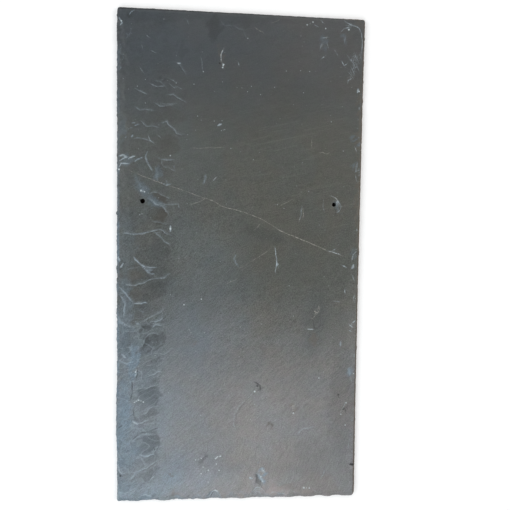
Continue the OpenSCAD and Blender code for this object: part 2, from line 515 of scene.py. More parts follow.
# Pale streaks: half the width, how strongly each shows, then its corners. They run in the flaked
# margin from the head down, round the right hole, along the tail, by the right edge and on the face.
SMEARS = tuple(Smear(pairs(row), strength, half_width=half_width) for half_width, strength, *row in (
    (0.9, 0.55, 164.5, 266, 164.8, 255, 164.5, 246),
    (1.3, 0.3, 141, 2, 144, 6.5, 147, 9.5, 152, 8.5, 157, 2),
    (1, 0.3, 145.5, 2.5, 147.5, 5.5, 150.5, 4.5, 152.5, 1.5), (1, 0.3, 8, 484, 12, 480),
    (0.9, 0.3, 52, 434, 58, 432, 64, 430), (1, 0.4, 18.5, 410, 22, 408),
    (1, 0.35, 50, 396, 54, 391, 59, 385), (1.1, 0.6, 14, 380, 16, 382), (1, 0.6, 8, 379.5, 9.5, 380),
    (0.9, 0.4, 18, 379, 23, 379.5), (0.8, 0.6, 15, 394.5, 18, 394), (0.9, 0.6, 17, 391, 20, 392.5, 23, 392),
    (0.7, 0.4, 9, 387, 14, 389, 18, 390), (1, 1, 1, 360.5, 5, 361.5, 9, 360),
    (0.9, 0.95, 2, 356, 7, 358.5, 12, 360), (1, 1, 11, 358, 15, 360, 18.5, 361),
    (0.9, 0.9, 2, 352.5, 7, 353.5, 12, 352.5), (0.8, 0.8, 1, 349, 4, 353),
    (0.9, 0.7, 17, 354.5, 20, 357, 25, 359), (1.2, 0.5, 30, 366, 28.5, 361, 31, 354, 35, 347),
    (1, 0.35, 39, 360, 44, 358, 58, 358), (1, 0.45, 57, 352, 58, 349),
    (2.6, 0.35, 38, 350, 40, 344, 41, 336), (1, 0.45, 49, 337, 50, 333, 54, 333),
    (3.8, 0.28, 18, 338, 23, 330, 28, 321), (1.2, 0.8, 23, 326, 29, 325),
    (1.8, 0.25, 29, 318, 36, 314, 43, 310), (0.7, 0.7, 43, 334.5, 48, 332.5, 53, 331),
    (1.2, 0.35, 16, 308, 26, 307, 36, 308), (1.2, 0.45, 5, 281, 20, 281, 38, 284),
    (1, 0.4, 38, 283, 45, 277, 53, 271), (1.4, 0.9, 1, 257, 3, 253), (1.2, 0.9, 3, 246, 6, 250),
    (1.2, 0.7, 17, 257, 22, 251, 28, 246.5), (0.9, 0.6, 27, 247, 33, 246.5, 41, 247),
    (1, 0.6, 25, 247, 31, 242, 38, 240), (1.8, 0.45, 29, 244, 36, 244),
    (1, 0.22, 32, 233, 45, 235, 53, 240), (1.5, 0.6, 2, 226, 9, 219, 14, 212),
    (1.4, 0.55, 3, 217, 8, 208, 7, 195), (1.5, 0.5, 0, 197, 3, 189, 9, 185), (2.6, 0.3, 20, 203, 28, 200),
    (1, 0.22, 20, 189, 30, 193, 46, 203), (0.8, 0.5, 34, 189, 40, 190, 46, 194),
    (0.9, 0.6, 36, 184, 40, 187, 45, 186), (0.8, 0.6, 19, 191, 20, 188, 23, 188),
    (0.8, 0.8, 18, 208.5, 24, 209, 29, 210), (1.6, 0.35, 23, 172, 22, 160, 20, 150),
    (1.6, 0.5, 13, 128, 16, 122, 15, 112), (1.2, 0.8, 4, 156, 9, 152), (1.2, 0.6, 0, 150, 9, 146, 16, 148),
    (0.8, 1, 18, 133, 21.5, 136.5), (0.8, 0.9, 18.5, 137, 21.5, 140.5), (1.2, 0.7, 12, 127, 18, 128),
    (1, 0.7, 18, 105, 22, 107, 27, 105), (1.5, 0.9, 16, 85, 21, 81), (1.2, 0.6, 22, 48, 30, 47, 38, 49),
    (1.3, 0.5, 13, 23, 20, 29, 30, 34), (1.1, 0.9, 0.5, 38, 2, 31, 5, 28, 8, 28), (2.2, 0.5, 1, 51, 3, 44),
    (1.5, 0.55, 1, 14, 2, 8, 4, 3), (2, 0.4, 229, 314, 230, 309), (1.5, 0.65, 235.5, 169, 236, 164),
    (2.4, 0.5, 245, 139, 247, 132), (1.3, 1, 248.5, 437, 247.5, 433), (1.3, 0.95, 248, 251, 247, 247),
    (1.3, 0.35, 234, 503, 236.5, 497, 240, 500), (0.8, 0.9, 1, 499, 4, 495),
    (0.8, 0.9, 2, 491, 5, 493, 3, 497), (0.8, 0.35, 9, 478, 12, 482, 14, 488),
    (0.8, 0.7, 12, 502, 14, 504, 17, 506), (0.8, 0.38, 2, 476, 4, 470, 2, 465, 5, 461, 6, 458, 3, 455),
    (0.8, 0.45, 2, 452, 4, 449, 1, 446), (0.6, 0.3, 13, 488, 14, 481), (1.6, 0.8, 22, 2, 29, 5, 36, 3),
    (1.2, 0.5, 60, 3, 66, 2), (1.4, 0.5, 83, 5, 88, 2), (1.4, 0.45, 128, 10, 134, 3),
    (2.8, 0.72, 153, 31, 156, 27), (2, 0.72, 150, 25, 152, 21, 154, 16), (1.4, 0.8, 139, 21, 143, 20),
    (1.3, 0.5, 249, 360, 248, 350), (1.2, 1, 54, 284.5, 54, 290), (1.3, 1, 101.5, 394.5, 106, 395.5),
    (1.2, 0.8, 60, 455, 63, 455), (1.3, 0.55, 121.5, 261, 120.5, 256, 122, 252, 125, 248),
    (1.6, 0.5, 89.5, 345, 89.5, 339, 87.5, 333),
))

# Scars of peeled layers in the left margin: place, length, width, slant, depth and shade.
TONGUES = tuple(Tongue(*row) for row in (
    (52, 404, 34, 15, -8, 0.25, 0.35), (33, 400, 26, 12, 5, 0.25, 0.3), (48, 372, 34, 20, 10, 0.25, 0.4),
    (43, 319, 21, 10, -12, 0.3, 0.85), (43, 302, 19, 16, -30, 0.35, 0.95), (40, 266, 26, 20, 15, 0.3, 0.45),
    (34, 221, 36, 13, 18, 0.3, 0.45), (37, 169, 27, 18, 42, 0.35, 0.9), (37, 147, 20, 12, 20, 0.3, 0.55),
    (37, 128, 18, 9, 24, 0.3, 0.5), (33, 109, 27, 22, 50, 0.4, 0.9), (31, 90, 26, 7, 24, 0.3, 0.6),
    (30, 59, 33, 20, 24, 0.4, 0.85), (35, 44, 24, 8, 30, 0.25, 0.5), (33, 26, 30, 10, 36, 0.25, 0.5),
))

# Pale blue floors of fresh flakes and the knife's bevel: place, length, width, slant and strength.
# The tables of patches that follow are laid out in the same way.
BLOOMS = tuple(Patch(*row) for row in (
    (7, 92, 96, 17, 90, 0.85), (10, 48, 40, 18, 60, 0.5), (10, 14, 26, 16, 30, 0.5),
    (8, 190, 120, 16, 90, 0.4), (17, 144, 50, 11, 82, 1), (10, 270, 70, 20, 90, 0.2),
    (26, 326, 28, 12, -58, 0.45), (38, 313, 20, 9, -25, 0.45), (230, 313, 14, 8, -70, 0.25),
    (41, 343, 16, 8, 85, 0.4), (4, 388, 28, 10, 90, 0.25), (10, 356, 20, 10, 5, 0.3),
    (246, 136, 12, 7, 90, 0.6), (153, 29, 9, 6, 80, 1), (152, 20, 12, 4, -60, 0.8),
    (247, 382, 7, 8, 90, 0.35), (247, 356, 12, 6, 90, 0.35), (248, 262, 14, 6, 90, 0.25),
    (211, 482, 14, 7, 80, 0.25), (233, 487, 10, 5, 90, 0.3), (28, 3, 10, 6, 0, 0.5), (64, 2, 8, 6, 0, 0.45),
    (83, 2.5, 8, 6, 0, 0.4), (94, 3, 12, 7, 0, 0.3), (122, 2, 9, 7, 0, 0.4), (133, 4, 10, 6, 0, 0.3),
    (48, 12, 60, 16, 35, 0.3),
))

# Darker places on the face: partly darker stone, partly painted shadow beside flakes, under rims and in a
# chip.
SHADES = tuple(Patch(*row) for row in (
    (98, 492, 18, 40, 0, 0.5), (110, 504, 130, 14, 0, 0.25), (120, 440, 130, 150, 0, 0.14),
    (124, 501, 44, 13, 0, 0.35), (128, 494, 50, 30, 0, 0.15), (24, 208, 26, 40, 0, 0.3),
    (30, 167, 8, 20, 0, 0.6), (10, 169, 13, 28, 0, 0.35), (11, 501, 6, 4, 0, 0.6),
    (27, 182, 20, 9, 30, 0.65), (66, 468, 9, 26, 0, 0.25), (30, 500, 70, 12, 0, 0.2),
    (47, 437, 8, 6, 0, 0.4), (150, 283, 50, 14, -15, 0.25), (160, 420, 140, 60, 10, 0.15),
    (160, 78, 9, 4, 20, 0.5), (91, 42, 16, 5, 38, 0.5), (148, 20, 5, 14, 0, 0.75),
    (147, 121, 8, 5, 20, 0.5), (38, 4, 6, 6, 0, 0.5), (73, 4, 7, 6, 0, 0.45), (98, 3, 4, 6, 0, 0.4),
    (252, 32, 5, 5, 0, 0.9), (243, 95, 4, 8, 0, 0.4), (240, 92, 36, 130, 0, 0.28),
    (207, 185, 24, 80, -8, 0.24), (36, 235, 40, 60, 90, 0.25),
))

# Where the face carries a cool film, down the left of the middle and along the tail.
VEILS = tuple(Patch(*row) for row in (
    (96, 208, 150, 96, 78, 1), (84, 30, 70, 60, 0, 0.6), (72, 300, 90, 40, 90, 0.35),
    (203, 195, 70, 34, 80, 0.4),
))

# Where the face is paler, partly from wear and partly as painted sheen.
WORN_AND_SHEEN = tuple(Patch(*row) for row in (
    (92, 255, 80, 90, 80, 0.9), (100, 200, 100, 90, 0, 0.5), (112, 8, 190, 50, 0, 1),
    (168, 5, 40, 14, 0, 2), (4, 4, 14, 10, 0, 2), (152, 80, 120, 70, 90, 0.5), (247, 200, 150, 16, 90, 0.7),
    (8, 6, 20, 12, 0, 0.9),
))

# Brown and rusty stains.
STAINS = tuple(Patch(*row) for row in (
    (182, 9, 26, 8, 0, 0.4), (160, 78, 8, 5, 30, 0.6), (82, 165, 6, 2.5, 35, 0.8),
    (104, 464, 6, 18, 0, 0.35), (60, 6, 14, 7, 0, 0.5), (186, 97, 9, 4, 90, 0.6), (58, 24, 6, 3, -35, 1),
    (17, 238, 24, 14, 0, 0.28), (19, 218, 10, 18, 0, 0.28), (251, 400, 90, 5, 90, 0.5),
    (251, 310, 90, 5, 90, 0.5), (207, 171, 9, 15, 0, 0.5), (249, 503, 14, 8, -40, 0.35),
    (210, 40, 40, 60, 0, 0.2),
))

# Where rust has washed out thin and pink.
BLUSHES = tuple(Patch(*row) for row in (
    (166, 6, 34, 15, 0, 0.9), (200, 4, 24, 9, 0, 0.5), (60, 7, 16, 6, 0, 0.3),
))

# Chips along the tail, on the right side and in the middle of the face: place, radius on the face,
# depth and frost.
BITES = tuple(Bite(*row) for row in (
    (8, -2, 7, 1.6, 0.6), (29, -2, 7, 1.8, 0.9), (38, -4, 7, 2.2, 0.2), (62, -2, 8, 2, 0.1),
    (74, -3, 6, 1.8, 0.2), (84, -2, 7, 1.6, 0.6), (102, -1, 9, 2.4, 0.9), (122, -3, 8, 1.8, 0.5),
    (146, -3, 10, 2.4, 0.15), (157, -3, 7, 1.8, 0.4), (172, -3, 7, 1.6, 0.2), (193, -4, 8, 1.6, 0.12),
    (215, -3, 8, 2, 0.12), (236, -4, 8, 1.6, 0.12), (252, 32, 4, 1.6, 0.1), (144, 116, 6, 0.5, 0),
    (1, 25, 4, 1.2, 0.2), (0, 80, 4, 1, 0.2), (255, 228, 4, 1, 0.3), (254, 420, 4, 1, 0.3),
))

# Quartz grains and pits that can be seen one by one: radius and strength, then the place of each. The dark
# spots are mostly painted shade in pits and chips; a few are dark stains.
FLECKS = tuple(Fleck(x, y, radius, strength) for radius, strength, *row in (
    (1.2, -0.9, 103, 457), (0.9, 0.9, 107, 456, 249.5, 434, 103, 43),
    (0.9, 0.8, 106, 453, 105.5, 45, 104, 37, 205, 8, 4, 495),
    (0.6, 0.38, 98, 398.5, 106, 399, 105.5, 389, 109, 390, 25, 302, 22.5, 301, 28, 438, 28, 414.5, 20, 431,
     59, 435.5, 115.5, 371, 122.5, 457, 77, 435, 81, 403, 196.5, 452.5, 187, 453, 172, 452, 136, 435, 132,
     429.5, 145.5, 427, 160, 435, 190.5, 430.5, 220.5, 401.5, 234, 371.5, 247, 374, 165, 314, 172, 310, 198,
     328.5, 139, 360, 184, 196, 179, 228.5, 127.5, 184.5, 150, 187.5, 239, 223, 238, 250, 248.5, 249, 251,
     215, 248, 184, 218, 135.5, 74, 182, 76, 178.5, 90, 178.5, 54.5, 218.5, 112, 139, 127, 153, 39, 154.5,
     64.5, 46, 87, 90, 53, 115, 140, 85, 144, 101, 63, 256.5, 211, 467.5),
    (1, 0.9, 1.5, 347, 24, 325.5, 186, 91, 103, 8.3, 237, 497, 19, 137),
    (0.8, 0.8, 27.5, 324.5, 95.5, 17.5, 154.5, 29, 154, 17, 105, 7.3, 212.5, 497, 213, 129, 251, 133.5,
     68.5, 208, 86.5, 214, 243, 77, 238, 89, 243.5, 101.5, 18, 105), (1.1, 0.9, 144, 115),
    (1.4, -0.8, 147, 121), (1, 1, 54, 287),
    (0.8, 0.9, 108.5, 45.5, 88, 27, 95.5, 30.5, 152, 22, 22, 107, 27, 105), (0.9, 0.7, 107, 30),
    (0.7, 0.8, 88, 43.5), (0.7, 0.7, 82, 42, 90, 34), (0.8, 0.7, 140.5, 21), (1.1, -1, 23.2, 316.2),
    (0.8, 0.6, 53.5, 362), (0.7, 0.5, 86.5, 448), (0.9, 0.6, 193, 500, 199, 503), (1.3, 0.8, 199, 8.5),
    (1.3, -1, 250.5, 33), (1.6, -1, 252.5, 32), (1.1, -0.8, 235, 110.5, 3, 25.5), (1.2, -0.7, 240.5, 94.5),
    (0.7, 0.35, 131.5, 483.5), (0.7, -0.7, 154.5, 30.5),
) for x, y in pairs(row))

# The lines of each kind, and the kinds that run too straight to wander.
LINES = {Mark.RIM: RIMS, Mark.SCORE: SCORES, Mark.CRACK: CRACKS, Mark.GRAZE: GRAZES}
STRAIGHT = (Mark.SCORE, Mark.GRAZE)

# How wide and how deep the dressing knife has bevelled each side.
BEVELS = {Side.LEFT: (9.0, 1.9), Side.RIGHT: (2.2, 1.3), Side.TAIL: (2.6, 1.3), Side.HEAD: (1.4, 0.9)}


@dataclass(frozen=True)
class NailHole:
    """A round hole through the sheet, as the record's mount gives it.

    Attributes:
        x: Its axis, in the part's frame.
        y: Its axis, in the part's frame.
        radius: Radius of its wall.
        spall: Radius of the broken mouth on the face.
        spall_depth: Depth of the broken mouth.
        shift: How far the mouth's middle lies towards +X and -Y of the axis.
    """

    x: float
    y: float
    radius: float
    spall: float
    spall_depth: float
    shift: float

    def dip(self, x: Numbers, y: Numbers) -> Numbers:
        """Return how far the broken mouth lowers the face at each place."""
        gap = np.hypot(x - self.x - self.shift, y - self.y + self.shift)
        return self.spall_depth * smooth_ramp(gap, self.spall, self.radius * 0.6)


@dataclass
class Relief:
    """The face at some places: its height and what shows on it.

    Attributes:
        width: Width of the sheet.
        length: Length of the sheet.
        face: Height of the solid's face.
        holes: The nail holes.
        x: The places across, in the part's frame.
        y: The places up, in the part's frame.
        headroom: How far the highest swell stays below the solid's face.
        swell: Depth of the face's broad swells.
        riven: Depth of the split's ripples.
        grit: Depth of the finest roughness.
        tread: Height of a lamination's edge in the flaked margin.
        pitch: Distance between the edges of laminations.
        strike: Direction of those edges, in degrees from X.
        tear: How far an oval's outline is torn, across and up.
        wander: How far marks stray, so that no line is ruled.
        loose: Share of that straying that straight marks have too.
        line_window: How far from a line its distance is stored.
        fleck_window: How far from a fleck the step to it is stored.
    """

    width: float
    length: float
    face: float
    holes: tuple[NailHole, ...]
    x: Numbers
    y: Numbers
    headroom: float = 0.05
    swell: float = 0.16
    riven: float = 0.05
    grit: float = 0.018
    tread: float = 0.08
    pitch: float = 17.0
    strike: float = 26.0
    tear: tuple[float, float] = (1.9, 1.5)
    wander: float = 0.9
    loose: float = 0.3
    line_window: float = 4.5
    fleck_window: float = 5.5

    def __post_init__(self) -> None:
        """Measure the places from the left edge and the tail: exactly, with the wander, and with less."""
        self.gaps = edge_gaps(self.x, self.y, self.width, self.length)
        across = self.gaps[Side.LEFT]
        up = self.gaps[Side.TAIL]
        self.u = across + self.wander * self.noise(11, 7.0, 7.0, 0.0, 2)
        self.v = up + self.wander * self.noise(12, 7.0, 7.0, 0.0, 2)
        self.steady = (self.loose * self.u + (1.0 - self.loose) * across,
                       self.loose * self.v + (1.0 - self.loose) * up)

    def noise(self, seed: int, along: float, across: float, grain: float, octaves: int) -> Numbers:
        """Read a random field of the given kind at the places."""
        return Roughcast(seed, along, across, grain, octaves).at(self.x, self.y)

    def strongest(self, shades: Iterable[Numbers]) -> Numbers:
        """Return the strongest of some shades at each place, and 0 where there is none."""
        return np.maximum.reduce([np.zeros_like(self.x), *shades])

    def bevel(self) -> Numbers:
        """Work out how far the dressing knife has lowered the face near the sides.

        Returns:
            The drop at each place.
        """
        ragged = self.noise(21, 9.0, 9.0, 0.0, 3)
        nibble = self.noise(22, 2.6, 2.6, 0.0, 2)
        drops = []
        for side, (width, depth) in BEVELS.items():
            reach = width * (1.0 + 0.45 * ragged)
            share = np.clip(1.0 - self.gaps[side] / np.maximum(reach, 0.3), 0.0, 1.0)
            drops.append(depth * (1.0 + 0.25 * nibble) * share ** 1.3)
        return self.strongest(drops) + 0.22 * smooth_ramp(self.gaps[Side.LEFT], 62.0, 18.0)

    def height(self) -> Numbers:
        """Work out the height of the face.

        Returns:
            The height above the bed at each place.
        """
        swell = self.swell * self.noise(31, 120.0, 60.0, 45.0, 2)
        riven = self.riven * self.noise(32, 26.0, 7.0, 45.0, 3)
        grit = self.grit * self.noise(33, 2.4, 1.6, 45.0, 2)
        z = np.minimum(swell - self.swell, 0.0) + riven + grit
        level = self.terraces()
        tread = np.floor(level) + smooth_ramp(level - np.floor(level), 0.82, 1.0)
        z = z + (tread - level) * self.tread * self.flaked() * smooth_ramp(self.v, 235.0, 150.0)
        torn = self.torn()
        for tongue in TONGUES:
            z = z - tongue.depth * tongue.inside(*torn)
        for stroke in RIMS + CRACKS:
            z = z - self._step(stroke)
        for bite in BITES:
            dip = bite.dip(self.u, self.v)
            z = np.minimum(z, 0.2 * grit - dip) if bite.depth > 1.0 else z - dip
        for hole in self.holes:
            z = z - hole.dip(self.x, self.y)
        return self.face - self.headroom + np.minimum(z - self.bevel(), self.headroom)

    def _step(self, stroke: Stroke) -> Numbers:
        """Work out how far a line's step lowers the face.

        Args:
            stroke: The line.

        Returns:
            The drop at each place.
        """
        near = stroke.near(self.u, self.v, stroke.reach)
        gap, along = stroke.nearest(self.u[near], self.v[near])
        fade = smooth_ramp(along, 0.0, 0.15) * smooth_ramp(along, 1.0, 0.85)
        below = smooth_ramp(gap, 0.5, -0.7) * np.clip(1.0 + gap / stroke.reach, 0.0, 1.0)
        drop = np.zeros_like(self.u)
        drop[near] = stroke.drop * below * fade
        return drop

    def torn(self) -> Pair:
        """Return the places shifted about, so that a smooth shape read at them comes out torn."""
        return (self.u + self.tear[0] * Roughcast(55, 8.0, 8.0, 0.0, 3).at(self.u, self.v),
                self.v + self.tear[1] * Roughcast(56, 8.0, 8.0, 0.0, 3).at(self.u, self.v))

    def flaked(self) -> Numbers:
        """Work out how far each place lies in the flaked left margin, which narrows to the tail.

        Returns:
            1 well inside the margin and 0 outside it.
        """
        reach = 44.0 + 12.0 * smooth_ramp(self.v, 140.0, 260.0) - 16.0 * smooth_ramp(self.v, 45.0, 5.0)
        ragged = 4.0 * self.noise(52, 16.0, 16.0, 0.0, 2)
        return smooth_ramp(self.u + ragged, reach + 4.0, reach - 5.0)

    def terraces(self) -> Numbers:
        """Number the laminations that crop out.

        Returns:
            The number at each place, with fractions between their edges.
        """
        turn = math.radians(self.strike)
        climb = (self.y * math.cos(turn) - self.x * math.sin(turn)) / self.pitch
        return climb + 0.9 * self.noise(53, 26.0, 15.0, self.strike, 3) + 40.0

    def lines(self, mark: Mark) -> Pair:
        """Measure every place against the nearest line of one kind.

        The signed distance is linear across a line, so a shader can draw the line finer than
        the mesh. The weight is zero where the distance changes from one line to another.

        Args:
            mark: The kind of line.

        Returns:
            The signed distance to the nearest line, and how strongly that line shows.
        """
        u, v = self.steady if mark in STRAIGHT else (self.u, self.v)
        offset = np.full_like(self.x, self.line_window)
        weight = np.zeros_like(self.x)
        for stroke in LINES[mark]:
            index = np.nonzero(stroke.near(u, v, self.line_window))[0]
            gap, along = stroke.nearest(u[index], v[index])
            ends = smooth_ramp(along, -0.02, 0.12) * smooth_ramp(along, 1.02, 0.88)
            show = stroke.strength * (0.35 + 0.65 * ends) * smooth_ramp(np.abs(gap), 2.8, 1.7)
            closer = np.abs(gap) < np.abs(offset[index])
            offset[index[closer]] = gap[closer]
            weight[index[closer]] = show[closer]
        return offset, weight * np.clip(0.85 + 0.4 * self.noise(41, 5.0, 5.0, 0.0, 2), 0.35, 1.0)

    def scars(self) -> Numbers:
        """Return how much of each place is the dark floor of a peeled layer."""
        torn = self.torn()
        return self.strongest(tongue.floor_shade(*torn) for tongue in TONGUES)

    def patches(self, patches: tuple[Patch, ...]) -> Numbers:
        """Return the strongest of some patches at each place, with a ragged edge."""
        ragged = 2.5 * self.noise(51, 8.0, 4.0, 45.0, 3)
        return self.strongest(patch.cover(self.u + ragged, self.v - ragged) for patch in patches)

    def frost(self) -> Numbers:
        """Work out how pale and blue each place is: fresh flakes, chips and bevels.

        Returns:
            0 for plain stone to 1 for a fresh flake.
        """
        shades = [self.patches(BLOOMS)]
        for bite in BITES:
            shades.append(0.6 * bite.frost * smooth_ramp(bite.dip(self.u, self.v), 0.0, 0.35))
        patchy = np.clip(0.45 + 0.6 * self.noise(54, 14.0, 14.0, 0.0, 3), 0.0, 1.0)
        edge = smooth_ramp(self.gaps[Side.LEFT], 3.2, 0.6) * patchy
        return self.strongest([*shades, edge * (0.4 + 0.6 * smooth_ramp(self.v, 420.0, 330.0))])

    def smears(self) -> Numbers:
        """Return how strongly the pale streaks show at each place."""
        return self.strongest(smear.cover(*self.steady) for smear in SMEARS)

    def flecks(self) -> Pair:
        """Measure every place against the nearest fleck.

        Returns:
            Rows of the step to the nearest fleck across and up, in radii of that fleck, with
            zero as the third number; and that fleck's strength, faded to zero away from it.
        """
        offset = np.zeros((len(self.x), 3))
        offset[:, 0] = self.fleck_window
        weight = np.zeros_like(self.x)
        best = np.full_like(self.x, self.fleck_window)
        for fleck in FLECKS:
            right = self.gaps[Side.LEFT] - fleck.x
            above = self.gaps[Side.TAIL] - fleck.y
            gap = np.hypot(right, above)
            closer = gap < best
            best[closer] = gap[closer]
            offset[closer, 0] = right[closer] / fleck.radius
            offset[closer, 1] = above[closer] / fleck.radius
            weight[closer] = fleck.strength * smooth_ramp(gap[closer], 3.2, 2.1)
        return offset, weight


@dataclass(frozen=True)
class Corner:
    """One corner of the sheet.

    Attributes:
        side: -1 at the left and 1 at the right.
        end: -1 at the tail and 1 at the head.
        radius: Radius it is worn to.
        shift: How far it lies from the corner of a true rectangle.
    """

    side: int
    end: int
    radius: float
    shift: tuple[float, float]


Block = tuple[NailHole, float, float, float, float]


@dataclass
class SlateSheet:
    """The sheet's mesh: a fine face, ragged side walls, a coarser bed and two holes.

    Attributes:
        low: Lowest corner of the solid, in millimetres.
        high: Highest corner of the solid, in millimetres.
        holes: The nail holes.
        fine_cell: Width of a cell in the flaked margin.
        margin: Width of the flaked margin.
        cell: Width of a cell across the rest of the face.
        row: Height of a cell on the face.
        bed_cell: Size of a cell on the bed.
        bed_inset: How far the bed's cells stay from the outline.
        bed_spread: Radius of the bed's ring round a hole, as a share of the hole's radius.
        wall_rings: Rings of cells down the side walls.
        ragged: How far the laminations stand out of the side walls.
        hole_reach: How far from a hole its rings have turned back into a grid.
        corner_reach: How far from a corner its rounding has run out.
        edge_reach: How far from a side its unevenness has run out.
        side_hollow: How far the middle of the right side lies inside its ends.
        crease: Angle, in degrees, from which an edge is shaded sharp.
        face_ramp: Heights above the bed between which the marks of the face begin to show.
        corners: The four corners.
    """

    low: Vector
    high: Vector
    holes: tuple[NailHole, ...]
    fine_cell: float = 0.87
    margin: float = 66.0
    cell: float = 1.5
    row: float = 1.25
    bed_cell: float = 5.0
    bed_inset: float = 3.5
    bed_spread: float = 2.2
    wall_rings: int = 5
    ragged: float = 0.26
    hole_reach: float = 9.0
    corner_reach: float = 12.0
    edge_reach: float = 10.0
    side_hollow: float = 1.0
    crease: float = 38.0
    face_ramp: tuple[float, float] = (1.0, 2.2)
    corners: tuple[Corner, ...] = (Corner(-1, -1, 2.0, (0.3, 0.2)), Corner(1, -1, 4.0, (0.1, -0.5)),
                                   Corner(1, 1, 2.5, (-0.4, -0.3)), Corner(-1, 1, 2.5, (0.0, 0.5)))

    def __post_init__(self) -> None:
        """Work out the overall sizes."""
        self.width, self.length, _ = self.high - self.low

    def relief(self, x: Numbers, y: Numbers) -> Relief:
        """Return the relief at some places in the part's frame."""
        return Relief(self.width, self.length, self.high.z, self.holes, x, y)

    def build(self) -> bpy.types.Object:
        """Build the whole sheet as one closed mesh.

        Returns:
            The finished object, at the origin, with its place in its mesh.
        """
        bm = bmesh.new()
        face_loops = self._face(bm)
        bed_loops = self._bed(bm)
        for number, (loop, bed_loop) in enumerate(zip(face_loops, bed_loops)):
            foot = self._wall(bm, loop, number == 0)
            bmesh.ops.bridge_loops(bm, edges=foot + bed_loop)
        bmesh.ops.recalc_face_normals(bm, faces=bm.faces)
        bmesh.ops.scale(bm, vec=(MM, MM, MM), verts=bm.verts)
        mesh = bpy.data.meshes.new("riven_slate")
        bm.to_mesh(mesh)
        bm.free()
        mesh.shade_smooth()
        mesh.set_sharp_from_angle(angle=math.radians(self.crease))
        self._paint(mesh)
        piece = bpy.data.objects.new("riven_slate", mesh)
        bpy.context.scene.collection.objects.link(piece)
        return piece

    def _face(self, bm: bmesh.types.BMesh) -> list[Edges]:
        """Lay the fine grid of the face, open its holes and raise its relief.

        Args:
            bm: The mesh to add to.

        Returns:
            The edges round the outline, then those round each hole.
        """
        fine = round(self.margin / self.fine_cell)
        columns = fine + round((self.width - self.margin) / self.cell)
        rows = round(self.length / self.row)
        verts = bmesh.ops.create_grid(bm, x_segments=columns, y_segments=rows, size=1.0)["verts"]
        break_at = 2.0 * fine / columns - 1.0
        for vert in verts:
            u = vert.co.x
            if u < break_at:
                x = self.low.x + self.margin * (u + 1.0) / (break_at + 1.0)
            else:
                x = self.low.x + self.margin + (self.width - self.margin) * (u - break_at) / (1.0 - break_at)
            vert.co = Vector((x, vert.co.y * self.length / 2.0, 0.0))
        verts = self._open_holes(bm, verts, self.row * 2.0, 1.0)
        self._shape_outline(verts)
        for vert, height in zip(verts, self.relief(*spots(verts)).height()):
            vert.co.z = height
        return self._split_loops([edge for edge in bm.edges if edge.is_boundary])

    def _bed(self, bm: bmesh.types.BMesh) -> list[Edges]:
        """Lay the coarser grid of the bed, a little inside the outline.

        Args:
            bm: The mesh to add to.

        Returns:
            The edges round the bed, then those round each hole.
        """
        columns = round(self.width / self.bed_cell)
        rows = round(self.length / self.bed_cell)
        verts = bmesh.ops.create_grid(bm, x_segments=columns, y_segments=rows, size=1.0)["verts"]
        for vert in verts:
            vert.co.x *= self.width / 2.0 - self.bed_inset
            vert.co.y *= self.length / 2.0 - self.bed_inset
        verts = self._open_holes(bm, verts, self.bed_cell, self.bed_spread)
        swell = Roughcast(61, 70.0, 40.0, 45.0, 2).at(*spots(verts))
        riven = Roughcast(62, 18.0, 7.0, 45.0, 2).at(*spots(verts))
        for vert, height in zip(verts, np.clip(0.22 + 0.12 * swell + 0.06 * riven, 0.0, None)):
            vert.co.z = self.low.z + height
        bmesh.ops.reverse_faces(bm, faces=list({face for vert in verts for face in vert.link_faces}))
        members = set(verts)
        edges = [edge for edge in bm.edges if edge.is_boundary and edge.verts[0] in members]
        return self._split_loops(edges)

    def _open_holes(self, bm: bmesh.types.BMesh, verts: Verts, half: float, spread: float) -> Verts:
        """Delete the block of cells at each hole and bend those round it into rings.

        Args:
            bm: The mesh.
            verts: The grid's vertices.
            half: About half the block's size.
            spread: Radius of the first ring, as a share of the hole's radius.

        Returns:
            The vertices that are left.
        """
        columns, rows = (np.unique(np.round(places, 4)) for places in spots(verts))
        blocks = []
        for hole in self.holes:
            left, right = (columns[np.argmin(np.abs(columns - (hole.x + step)))] for step in (-half, half))
            low, high = (rows[np.argmin(np.abs(rows - (hole.y + step)))] for step in (-half, half))
            blocks.append((hole, (left + right) / 2, (low + high) / 2, (right - left) / 2, (high - low) / 2))
        doomed = []
        for face in {face for vert in verts for face in vert.link_faces}:
            middle = face.calc_center_median()
            if any(abs(middle.x - x) < wide and abs(middle.y - y) < tall for _, x, y, wide, tall in blocks):
                doomed.append(face)
        bmesh.ops.delete(bm, geom=doomed, context="FACES")
        verts = [vert for vert in verts if vert.is_valid]
        for block in blocks:
            self._round_hole(verts, block, spread)
        return verts

    def _round_hole(self, verts: Verts, block: Block, spread: float) -> None:
        """Bend the cells round an opened block into rings about the hole's axis.

        Args:
            verts: The grid's vertices.
            block: The hole, the block's middle, and half its width and height.
            spread: Radius of the first ring, as a share of the hole's radius.
        """
        hole, x, y, wide, tall = block
        outer = (self.hole_reach + wide) / wide
        for vert in verts:
            dx = vert.co.x - x
            dy = vert.co.y - y
            square = max(abs(dx) / wide, abs(dy) / tall)
            if square >= outer:
                continue
            gap = math.hypot(dx, dy)
            share = (square - 1.0) / (outer - 1.0)
            ring = hole.radius * spread
            radius = ring + (gap - ring) * share
            vert.co.x = (x * share + hole.x * (1.0 - share)) + dx / gap * radius
            vert.co.y = (y * share + hole.y * (1.0 - share)) + dy / gap * radius

